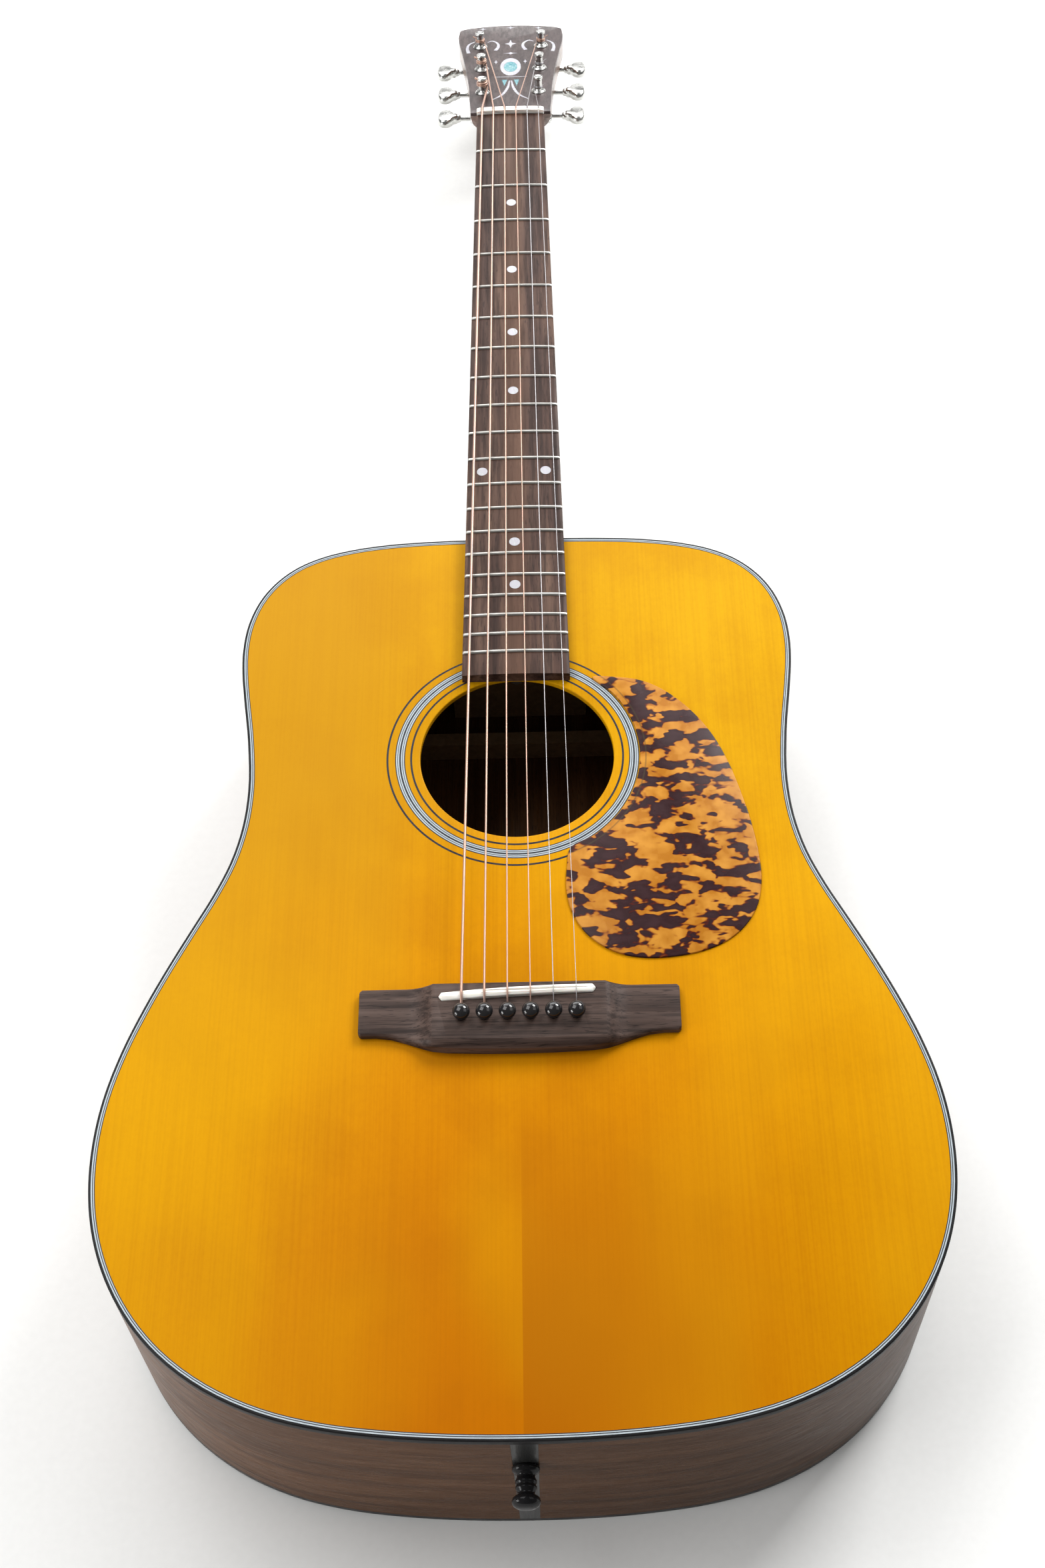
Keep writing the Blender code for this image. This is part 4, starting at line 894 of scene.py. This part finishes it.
def make_neck(finish):
    """One lofted skin from the heel's foot, along the shaft, to the headstock's end."""
    knots = [(*row, *between(HEEL_POWER, SHAFT_POWER, number / (len(HEEL) - 1)))
             for number, row in enumerate(mm(HEEL))]
    loft = [neck_ring(row[0:2], row[2:4], row[4], row[5:7])
            for row in smooth(knots, 4, closed=False)]
    for y in np.linspace(0.085, NUT_Y - 0.012, 24):
        loft.append(neck_ring((y, 0.0), (y, -read(SHAFT_DEPTHS, y)), half_board(y), SHAFT_POWER))
    under = -VENEER_THICKNESS - PROUD
    for number, y in enumerate(np.linspace(-0.006, 0.030, 13)):
        share = number / 12
        thick = HEAD_THICKNESS + under + 0.0006 * (1 - ease(share * 2))
        half = half_board(NUT_Y) if y < 0 else max(half_board(NUT_Y), head_half(y))
        loft.append(neck_ring((y, under), (y + 0.002 * (1 - share), under - thick), half,
                              between(SHAFT_POWER, HEAD_POWER, ease(share)), HEAD_IN_GUITAR))
    for y in (0.045, 0.060, 0.075, 0.090, 0.105, 0.118, 0.128):
        loft.append(neck_ring((y, under), (y, -HEAD_THICKNESS), head_half(y), HEAD_POWER,
                              HEAD_IN_GUITAR))
    last = neck_ring((0.0, under), (0.0, -HEAD_THICKNESS), head_half(HEAD_SHOULDER_Y), HEAD_POWER)
    loft.append([HEAD_IN_GUITAR @ Vector((p.x, head_end(p.x), p.z)) for p in last])
    neck = piece("carved_neck", Shape().skin(loft), finish, sharp=math.radians(50))
    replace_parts(neck, "neck")
    foot = [(point.x, point.y) for point in loft[0]]
    if sum(a[0] * b[1] - b[0] * a[1] for a, b in zip(foot, foot[1:] + foot[:1])) > 0:
        foot.reverse()
    return foot


def make_heel_cap(foot, finish):
    """Plate under the clockwise outline of the heel's foot, its lower edge a little flared."""
    foot_z, cap_z = -HEEL_BOTTOM_Z, -local_box("heel_cap")[0].z
    shape = Shape().plate(foot, foot_z, cap_z, 0.0006, place=Matrix.Diagonal((1, 1, -1, 1)))
    cap = piece("heel_foot_cap", shape, finish)
    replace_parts(cap, "heel_cap")


def head_outline():
    right = [(head_half(0.0006), 0.0003)] + HEAD_RIGHT
    return right + [(-x, y) for x, y in right[-2::-1]]


def make_veneer(finish):
    shape = Shape().plate(head_outline(), -VENEER_THICKNESS, 0.0, 0.0004)
    veneer = piece("head_face", shape, finish, HEAD)
    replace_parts(veneer, "headstock_veneer")


def fret_y(number):
    return NUT_Y - SCALE_LENGTH * (1 - 2 ** (-number / 12))


def make_fretboard(finish):
    """Tapered board with a radiused top and eased edges."""
    rings = []
    for y in np.linspace(BOARD_LOW.y, NUT_Y, 12):
        half = half_board(y)
        xs = [half * math.sin(a) for a in np.linspace(-math.pi / 2, math.pi / 2, 17)]
        ring = [(x, y, BOARD_TOP_Z - crown(x) - (0.0004 if abs(x) > half * 0.999 else 0.0))
                for x in xs]
        rings.append([(-half, y, PROUD)] + ring + [(half, y, PROUD)])
    board = piece("rosewood_board", Shape().skin(rings), finish)
    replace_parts(board, "fretboard")


FRET_SECTION = mm((              # across the wire and up from the board
    (-1.00, -0.30), (-1.00, 0.10), (-0.84, 0.52), (-0.50, 0.85), (0.0, 0.98), (0.50, 0.85),
    (0.84, 0.52), (1.00, 0.10), (1.00, -0.30)))


def make_frets(finish):
    """Rounded fret wires with filed ends."""
    for number in range(1, FRET_COUNT + 1):
        y = fret_y(number)
        half = half_board(y) - 0.0001
        rings = []
        for share in np.linspace(-1, 1, 19):
            x = half * share
            filed = 0.35 if abs(share) > 0.99 else 1.0
            if abs(share) < 0.99:
                x = (half - 0.0009) * share / 0.89
            rings.append([(x, y + across, BOARD_TOP_Z - crown(x) + (up * filed if up > 0 else up))
                          for across, up in FRET_SECTION])
        piece(f"fret_{number:02d}", Shape().skin(rings), finish)


DOT_RADIUS = 0.0030
DOT_FRETS = (3, 5, 7, 9, 12, 15, 17)
OCTAVE_FRET = 12
OCTAVE_SPREAD = 0.0180


def make_dots(finish):
    """Pearl dots between the frets, and small ones along the bass edge of the board."""
    shape, small = Shape(), Shape()
    for number in DOT_FRETS:
        y = (fret_y(number) + fret_y(number - 1)) / 2
        for x in (-OCTAVE_SPREAD, OCTAVE_SPREAD) if number == OCTAVE_FRET else (0.0,):
            disc = circle(DOT_RADIUS, 32, (x, y))
            shape.skin([[(px, py, BOARD_TOP_Z - crown(px) + z) for px, py in disc]
                        for z in (-0.0005, PROUD)])
        for shift in (-0.0035, 0.0035) if number == OCTAVE_FRET else (0.0,):
            place = (Matrix.Translation((-half_board(y + shift), y + shift, BOARD_TOP_Z * 0.55))
                     @ Matrix.Rotation(-math.pi / 2, 4, "Y"))
            small.lathe(((-0.0004, 0.0008), (PROUD, 0.0008)), 20, place)
    piece("fretboard_dots", shape, finish)
    piece("side_dots", small, finish)


# ---------------- headstock inlay
INLAY = (-0.0004, PROUD)         # its lowest and highest level


def ribbon(shape, line, widths):
    """Flat inlaid band along a smooth line, its width running through the given values."""
    line = smooth(line, 8, closed=False)
    left, right = [], []
    for i, here in enumerate(line):
        before, after = Vector(line[max(i - 1, 0)]), Vector(line[min(i + 1, len(line) - 1)])
        along = (after - before).normalized()
        share = i / (len(line) - 1) * (len(widths) - 1)
        half = float(np.interp(share, range(len(widths)), widths)) / 2
        left.append((here[0] - along.y * half, here[1] + along.x * half))
        right.append((here[0] + along.y * half, here[1] - along.x * half))
    shape.plate(right + left[::-1], *INLAY)


def oval(across, tall, centre, sides=48):
    return [(centre[0] + x * across, centre[1] + y * tall) for x, y in circle(1.0, sides)]


def star(shape, centre, across, tall):
    """Inlaid star with four points."""
    waists = circle(0.25 * math.sqrt(2), 4, start=math.pi / 4)
    points = [point for pair in zip(circle(1.0, 4), waists) for point in pair]
    shape.plate([(centre[0] + x * across, centre[1] + y * tall) for x, y in points], *INLAY)


CURLS = mm((                     # middle lines and widths of the bands on the treble side
    (((0.6, 50.5), (2.2, 38.0), (6.2, 27.0), (11.8, 20.5)), (0.8, 1.8, 1.8, 0.6)),
    (((10.5, 102.0), (8.6, 108.0), (9.5, 115.0), (13.0, 118.5), (16.0, 116.5)),
     (2.6, 2.0, 1.6, 1.2, 0.6)),
    (((29.0, 98.5), (30.0, 106.0), (28.5, 114.0), (25.0, 118.0)), (2.6, 2.0, 1.4, 0.6))))


def make_head_inlay(white, green):
    """Plain geometric inlay: an oval, stars, two arcs, a bar and curls."""
    shell, centre = Shape(), (0.0, 0.0735)
    shell.hoop(oval(0.0070, 0.0145, centre), oval(0.0046, 0.0085, centre), *INLAY)
    star(shell, (0.0, 0.1130), 0.0040, 0.0070)
    star(shell, (0.0, 0.0965), 0.0050, 0.0022)
    for sign in (-1, 1):
        star(shell, (sign * 0.0100, 0.0820), 0.0014, 0.0040)
        for points, widths in CURLS:
            ribbon(shell, [(sign * x, y) for x, y in points], widths)
        star(shell, (sign * 0.0195, 0.1400), 0.0026, 0.0026)
    shell.plate(mm(((-11, 56.6), (11, 56.6), (11, 57.2), (-11, 57.2))), *INLAY)
    star(shell, (0.0, 0.1415), 0.0030, 0.0026)
    piece("head_inlay_pearl", shell, white, HEAD)
    shell = Shape().plate(oval(0.0045, 0.0083, centre), *INLAY)
    for sign in (-1, 1):
        corners = [(sign * x, y) for x, y in mm(((2.2, 52.0), (5.8, 52.0), (4.2, 42.0)))]
        shell.plate(corners[::-sign], *INLAY)
    piece("head_inlay_abalone", shell, green, HEAD)


# ---------------- bridge and strings
BALL_RADIUS, BALL_HALF = 0.00415, 0.00335    # half width and half height of a pin's ball
NUMBERS = range(1, 7)                        # strings, pins and tuners, the thinnest first


def string_x(number, spread):
    return spread / 2 - (number - 1) * spread / 5


def pin_axis(number):
    low, high = local_box(f"bridge_pin_{number}")
    return Vector(((low.x + high.x) / 2, (low.y + high.y) / 2, high.z))


def make_saddle(finish):
    """The CAD saddle, thicker along the body about its slanted middle line."""
    saddle = copy_of("saddle", "shaped_saddle", finish, 0.0007)
    points = [GUITAR.inverted() @ vertex.co for vertex in saddle.data.vertices]
    slope, start = np.polyfit([point.x for point in points], [point.y for point in points], 1)
    for vertex, point in zip(saddle.data.vertices, points):
        point.y += (point.y - float(start + slope * point.x)) * 0.45
        vertex.co = GUITAR @ point


def make_bridge_pins(finish):
    """Tapered pins with a collar and a ball head."""
    turned = profile(0.0, (-26.5, 1.0), (-19.0, 1.6), (-12.0, 2.1), (-8.0, 2.4), (-6.8, 2.5),
                     (-6.2, 3.3), (-5.7, 3.4), (-5.3, 3.3), (-5.0, 3.0))
    for step in range(1, 15):
        angle = -0.88 + (math.pi / 2 + 0.88) * step / 14.3
        turned.append((BALL_HALF * (math.sin(angle) - 1), BALL_RADIUS * math.cos(angle)))
    for number in NUMBERS:
        place = Matrix.Translation(pin_axis(number))
        pin = piece(f"ball_pin_{number}", Shape().lathe(turned, 40, place), finish, sharp=BLUNT)
        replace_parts(pin, f"bridge_pin_{number}")


def side_of(number):
    """Side (+1 treble, -1 bass) of a string's post."""
    return 1 if number <= 3 else -1


def post_frame(number):
    return Matrix.Translation(joint(f"tuner_{number}_post_turn")["pos_m"]) @ TURN


POST_WAIST = 0.0025
POST_TOP_Z = 0.0106
WRAP_Z = 0.0026                  # where the string's first turn lies on the post
COIL_STEPS = 20
BALL_END_RADIUS = 0.0017


def make_strings(finishes):
    """Strings from the posts over the nut and saddle and down beside the pins."""
    low, high = local_box("saddle")
    bridge_top = local_box("bridge")[1].z
    for number, gauge in enumerate(GAUGES, 1):
        x = string_x(number, NUT_SPREAD)
        nut = Vector((x, NUT_Y + 0.0003, NUT_STRING_Z - crown(x)))
        pin = pin_axis(number)
        saddle_y = float(np.interp(pin.x, (low.x, high.x), (low.y + 0.0015, high.y - 0.0015)))
        saddle = Vector((pin.x, saddle_y, high.z - crown(pin.x) + 0.0001 + gauge / 2))
        entry = Vector((pin.x, pin.y + 0.0034, bridge_top - 0.0002))
        side = side_of(number)
        post = GUITAR.inverted() @ post_frame(number)
        reach, height = POST_WAIST + gauge * 0.6, WRAP_Z + gauge * 0.6
        wrap = [post @ Vector((-side * reach * math.cos(turned), reach * math.sin(turned), height))
                for turned in (1.2, 0.9, 0.6, 0.3)]
        leave = post @ Vector((-side * reach, -0.0004, height))
        back = Vector((x, NUT_Y + 0.0045, nut.z - 0.0003))
        path = wrap + [
            leave, leave.lerp(back, 0.5), leave.lerp(back, 0.96), back, nut,
            nut.lerp(saddle, 0.004), nut.lerp(saddle, 0.5), saddle + Vector((0, 0.0012, 0)),
            saddle - Vector((0, 0.00024, 0.0001)), saddle.lerp(entry, 0.25),
            saddle.lerp(entry, 0.85), entry - Vector((0, 0, 0.0009)),
            entry - Vector((0, 0.0002, 0.0030))]
        path += [Vector((entry.x, entry.y - 0.0002, z)) for z in (-0.0062, -0.0064, -0.0090)]
        radii = [gauge / 2] * (len(path) - 2) + [BALL_END_RADIUS] * 2
        string = piece(f"tuned_string_{number}", Shape().tube(path, radii, 14),
                       finishes[number - 1], sharp=BLUNTEST)
        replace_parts(string, f"string_{number}")


def make_coils(finishes):
    """Turns of string on each post, above the string's own first turn, and its cut end."""
    for number, gauge in enumerate(GAUGES, 1):
        side = side_of(number)
        turns = 2 if number > 3 else 3
        reach = POST_WAIST + gauge / 2
        path = []
        for step in range(turns * COIL_STEPS + 1):
            turned = step / COIL_STEPS
            angle = (math.pi if side > 0 else 0.0) - side * 2 * math.pi * turned
            path.append((reach * math.cos(angle), reach * math.sin(angle),
                         WRAP_Z + gauge * 1.72 + turned * gauge * 1.03))
        last_z = path[-1][2] + gauge
        end = angle - side * 0.9
        path.append((reach * math.cos(end), reach * math.sin(end), last_z))
        tip = ((-0.0006 * side, 0.0, last_z), (0.0030 * side, 0.0002, last_z),
               (0.0048 * side, 0.0010, last_z + 0.0008))
        shape = Shape().tube(path, [gauge / 2] * len(path), 8).tube(tip, [gauge / 2] * 3, 8)
        piece(f"string_coil_{number}", shape, finishes[number - 1], post_frame(number),
              f"post_{number}", sharp=BLUNTEST)


# ---------------- tuning machines
GEAR_TEETH = 16
GEAR_PITCH_RADIUS = 0.0050
WORM_PITCH_RADIUS = 0.0024
WORM_LEAD = 2 * math.pi * GEAR_PITCH_RADIUS / GEAR_TEETH
GEAR_TWIST = WORM_LEAD / (2 * math.pi * WORM_PITCH_RADIUS) / GEAR_PITCH_RADIUS
TOOTH = mm((                     # along the gear's rim and out from its axis
    (-0.46, 4.1), (-0.30, 5.0), (-0.20, 5.4), (0.20, 5.4), (0.30, 5.0), (0.46, 4.1)))


def gear_rings(gear_z):
    """Rings of a wheel with twisted teeth, chamfered above and below."""
    rings = []
    for z in mm((-2.0, -1.7, 1.7, 2.0)):
        ring = []
        for index in range(GEAR_TEETH):
            middle = math.pi / 2 + 2 * math.pi * index / GEAR_TEETH + GEAR_TWIST * z
            for width, radius in TOOTH:
                radius -= 0.0003 if abs(z) > 0.0018 else 0.0
                turned = middle + width / radius
                ring.append((radius * math.cos(turned), radius * math.sin(turned), gear_z + z))
        rings.append(ring)
    return rings


def make_posts(finish):
    """Turned posts with a waist for the string and a dished top."""
    for number in NUMBERS:
        place = post_frame(number)
        foot = local_box(f"tuner_post_{number}", place)[0].z
        turned = profile(foot, (0, 1.8), (0.3, 2.2), (0.5, 2.6), (2.0, 2.6), (2.0, 3.0))
        turned += profile(WRAP_Z, (-1.0, 3.0), (-0.4, 2.5))
        turned += profile(POST_TOP_Z, (-3.0, 2.5), (-2.2, 2.7), (-1.6, 3.0), (-0.4, 3.0),
                          (-0.1, 2.8), (0, 2.5), (-0.2, 1.6), (-0.3, 0.4))
        shape = Shape().lathe(turned, 32).skin(gear_rings(foot + 0.0040))
        post = piece(f"capstan_{number}", shape, finish, place, f"post_{number}")
        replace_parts(post, f"tuner_post_{number}")


def make_bushings(finish):
    """Collars round the posts, pressed into the headstock's face."""
    turned = profile(0.0, (-1.0, 4.4), (0, 4.8), (0.4, 4.9), (0.8, 4.7), (1.2, 4.2), (1.6, 3.8),
                     (1.6, 3.4), (-1.0, 3.3))
    rings = [level(circle(radius, 40), z) for z, radius in turned]
    for number in NUMBERS:
        piece(f"bushing_{number}", Shape().skin(rings, closed=True), finish, post_frame(number))


def button_frame(number):
    """Frame of a button's shaft, X along it from the worm to the button."""
    flip = Matrix.Rotation(math.pi if side_of(number) < 0 else 0.0, 4, "Y")
    return Matrix.Translation(joint(f"tuner_{number}_button_turn")["pos_m"]) @ TURN @ flip


BUTTON_START = 0.0176
BUTTON_MIDDLE = 0.0072
BUTTON_HALF = 0.0031
BEAN = mm((                      # half outline of a button, along the shaft and across
    (0, 2.2), (2.0, 3.0), (4.4, 7.0), (7.8, 9.4), (11.2, 8.8), (13.2, 6.0), (13.8, 2.4)))
THREAD = mm(((-0.36, 1.3), (-0.24, 2.9), (0.24, 2.9), (0.36, 1.3)))


def button_rings():
    """Slices through a kidney-shaped button, rounded towards both faces."""
    bean = smooth(list(BEAN) + [(x, -y) for x, y in BEAN[::-1]], OUTLINE_STEPS)
    rings = []
    for step in range(9):
        angle = math.pi * (step / 8 - 0.5)
        scale = 0.70 + 0.30 * math.cos(angle) ** 0.8
        rings.append([(BUTTON_START + BUTTON_MIDDLE + (x - BUTTON_MIDDLE) * scale, y * scale,
                       BUTTON_HALF * math.sin(angle)) for x, y in bean])
    return rings


def worm_rings():
    """Sections along two turns of the worm's thread."""
    rings = []
    for step in range(2 * COIL_STEPS + 1):
        turn = step / COIL_STEPS - 1.0
        angle = math.pi + 2 * math.pi * (turn - 0.5)
        rings.append([(WORM_LEAD * turn + width, radius * math.cos(angle),
                       radius * math.sin(angle)) for width, radius in THREAD])
    return rings


def make_buttons(finish):
    """Shaft, button and worm of each machine."""
    shaft = profile(0.0, (-8.8, 1.1), (-8.6, 1.5))
    shaft += profile(BUTTON_START, (-2.0, 1.5), (-1.8, 2.0), (-1.2, 2.4), (-0.2, 2.6), (2.0, 2.6))
    along = Matrix.Rotation(math.pi / 2, 4, "Y")
    for number in NUMBERS:
        shape = Shape().lathe(shaft, 28, along).skin(button_rings()).skin(worm_rings())
        button = piece(f"button_and_worm_{number}", shape, finish, button_frame(number),
                       f"button_{number}")
        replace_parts(button, f"tuner_button_{number}")


def make_screws(finish):
    """Two domed screws in each machine's plate, seen from behind."""
    turned = profile(0.0, (0.2, 2.1), (-0.2, 2.1), (-0.6, 1.8), (-0.8, 1.0), (-0.8, 0.2))
    for number in NUMBERS:
        place = post_frame(number)
        low, high = local_box(f"tuner_plate_{number}", place)
        shape = Shape()
        for y in (low.y + 0.0026, high.y - 0.0030):
            shape.lathe(turned, 28, Matrix.Translation((0.0, y, high.z - 0.0012)))
        piece(f"plate_screws_{number}", shape, finish, place)


# ---------------- stage
FLOOR_HALF = 6.0


def make_floor():
    """Plain pale floor with the faint tooth of paper."""
    mesh = bpy.data.meshes.new("floor")
    corners = ((-1, -1), (1, -1), (1, 1), (-1, 1))
    mesh.from_pydata([(x * FLOOR_HALF, y * FLOOR_HALF, 0) for x, y in corners], [], [range(4)])
    floor = linked("floor", mesh)
    paper = Finish("pale_paper", "bone", (0.84, 0.84, 0.825), 0.9)
    tooth = paper.noise(paper.place, 260, 3.0)
    paper.mottle(tooth, (0.3, (0.83, 0.83, 0.815)), (0.7, (0.85, 0.85, 0.835)))
    paper.bump(tooth, 0.0002, 0.15)
    mesh.materials.append(paper.material)


WORLD_LIGHT = 0.22
LIGHTS = (                       # name, place, aim, size and watts
    ("back_left", (-0.9, 2.6, 2.3), (0, 0.1, 0), (2.6, 1.8), 24),
    ("low_back", (-0.2, 2.2, 1.1), (0, 0, 0), (2.4, 1.2), 40),
    ("over_left", (-1.0, 0.4, 2.0), (0, -0.1, 0), (1.4, 1.4), 29),
    ("over_right", (1.6, 0.1, 1.8), (0, -0.1, 0), (1.4, 1.4), 9),
    ("front_left", (-1.9, -1.1, 0.6), (-0.1, -0.5, 0), (1.0, 0.8), 28),
    ("back_right", (1.5, 1.8, 1.7), (0, 0, 0), (1.2, 1.2), 93))


def make_lights():
    """Six white soft boxes in a dim white room."""
    world = bpy.data.worlds.new("studio")
    bpy.context.scene.world = world
    world.use_nodes = True
    background = world.node_tree.nodes["Background"]
    background.inputs["Color"].default_value = (1.0, 1.0, 1.0, 1)
    background.inputs["Strength"].default_value = WORLD_LIGHT
    for name, place, aim, size, power in LIGHTS:
        light = bpy.data.lights.new(name, "AREA")
        light.shape = "RECTANGLE"
        light.size, light.size_y = size
        light.energy = power
        item = linked(name, light)
        item.location = place
        item.rotation_euler = (Vector(aim) - Vector(place)).to_track_quat("-Z", "Y").to_euler()
    bpy.context.scene.view_settings.view_transform = "Standard"


LENS = 48.156                    # millimetres, for a sensor 36 mm wide
CAMERA = Matrix((                # in the guitar frame
    (0.99961, 0.02285, 0.01606, 0.01993), (-0.00969, 0.82308, -0.56784, -0.77633),
    (-0.02620, 0.56747, 0.82298, 0.88413), (0, 0, 0, 1)))


def make_camera():
    """Camera over the tail, looking along the body."""
    data = bpy.data.cameras.new("camera")
    data.lens, data.sensor_width = LENS, 36.0
    data.clip_start = 0.01
    camera = linked("camera", data)
    camera.matrix_world = GUITAR @ CAMERA
    bpy.context.scene.camera = camera


# ---------------- making
INNER_WOOD = ("neck_block", "tail_block", "top_lining", "back_lining", "x_brace",
              "tone_bar_long", "tone_bar_short", "upper_transverse_brace", "bridge_plate",
              *(f"back_brace_{number}" for number in range(1, 5)))


def board_wood():
    """Fretboard wood, warmer along its middle."""
    tones = ((0.021, 0.0105, 0.0080), (0.064, 0.034, 0.0255), (0.130, 0.076, 0.053))
    wood = timber("fretboard_rosewood", "rosewood", tones, 1, 0.44, seed=4.0, shine=0.12)
    out = wood.math("ABSOLUTE", wood.axes()[0])
    return wood.tint(wood.span(out, 0.011, 0.001, 0.0, 0.4), (0.135, 0.068, 0.040))


def make_body(pale, dark):
    """Body with its bindings, lines, pickguard and end pin."""
    outline = body_outline()
    make_soundboard(outline, spruce())
    make_rosette(dark, pale)
    make_purfling(outline, dark, pale)
    make_bindings(outline, black("satin_black", 0.30, 0.42, 0.10))
    make_sides(outline, bent_wood(), graft_wood())
    flat = timber("body_mahogany_flat", "dark_body_wood", HARDWOOD, 1, 0.30, coat=0.2, seed=1.0)
    make_back(outline, flat, dark, pale)
    make_pickguard(tortoise())
    make_end_pin(black("glossy_black", 0.05, 0.11, 0.12))
    bare = raw_spruce()
    for node in INNER_WOOD:
        dress(node, bare)


def make_neck_parts(polished):
    """Neck, heel cap, headstock, fretboard and truss rod."""
    tones = ((0.045, 0.018, 0.010), (0.110, 0.048, 0.026), (0.170, 0.085, 0.050))
    foot = make_neck(timber("neck_mahogany", "neck_wood", tones, 1, 0.36, coat=0.35, seed=2.0))
    make_heel_cap(foot, polished)
    tones = ((0.022, 0.012, 0.012), (0.050, 0.034, 0.033), (0.075, 0.052, 0.050))
    make_veneer(timber("head_rosewood", "head_veneer", tones, 1, 0.34, pores=0.2, coat=0.1,
                       seed=6.0))
    make_fretboard(board_wood())
    make_frets(metal("fret_nickel", "nickel", (0.46, 0.45, 0.42), 0.36, 0.46, 60))
    shell = pearl()
    make_dots(shell)
    make_head_inlay(shell, abalone())
    dress("truss_rod", metal("black_oxide_rod", "rod_steel", (0.30, 0.30, 0.30), 0.3, 0.5), 0.0003)


def make_strung_parts(polished):
    """Bridge, nut, saddle, pins and strings."""
    tones = ((0.019, 0.012, 0.010), (0.058, 0.037, 0.030), (0.110, 0.074, 0.061))
    wood = timber("bridge_rosewood", "rosewood", tones, 0, 0.46, pores=0.6, seed=5.0, shine=0.15)
    copy_of("bridge", "carved_bridge", wood, 0.0004, 0.0002)
    horn = bone()
    copy_of("nut", "shaped_nut", horn, 0.0003, 0.0002)
    make_saddle(horn)
    make_bridge_pins(polished)
    steel = metal("plain_steel_wire", "plain_steel", (0.42, 0.41, 0.42), 0.42, 0.48, 40)
    finishes = [steel] * 2 + [wound("wound_bronze", "bronze_wound", (0.50, 0.32, 0.25))] * 4
    make_strings(finishes)
    make_coils(finishes)


def make_tuners():
    """Posts, bushings, buttons and plates of the six tuning machines."""
    nickel = metal("polished_nickel", "nickel", (0.56, 0.56, 0.54), 0.16, 0.32)
    make_posts(nickel)
    make_bushings(nickel)
    make_buttons(nickel)
    make_screws(nickel)
    for number in NUMBERS:
        dress(f"tuner_plate_{number}", nickel, 0.0002)


def main():
    make_camera()
    make_lights()
    make_floor()
    polished = black("polished_black", 0.03, 0.06, 0.45)
    make_body(line_finish("pale_fibre", (0.38, 0.43, 0.46), "bone"),
              line_finish("dark_fibre", (0.014, 0.016, 0.021), "black_plastic"))
    make_neck_parts(polished)
    make_strung_parts(polished)
    make_tuners()


main()
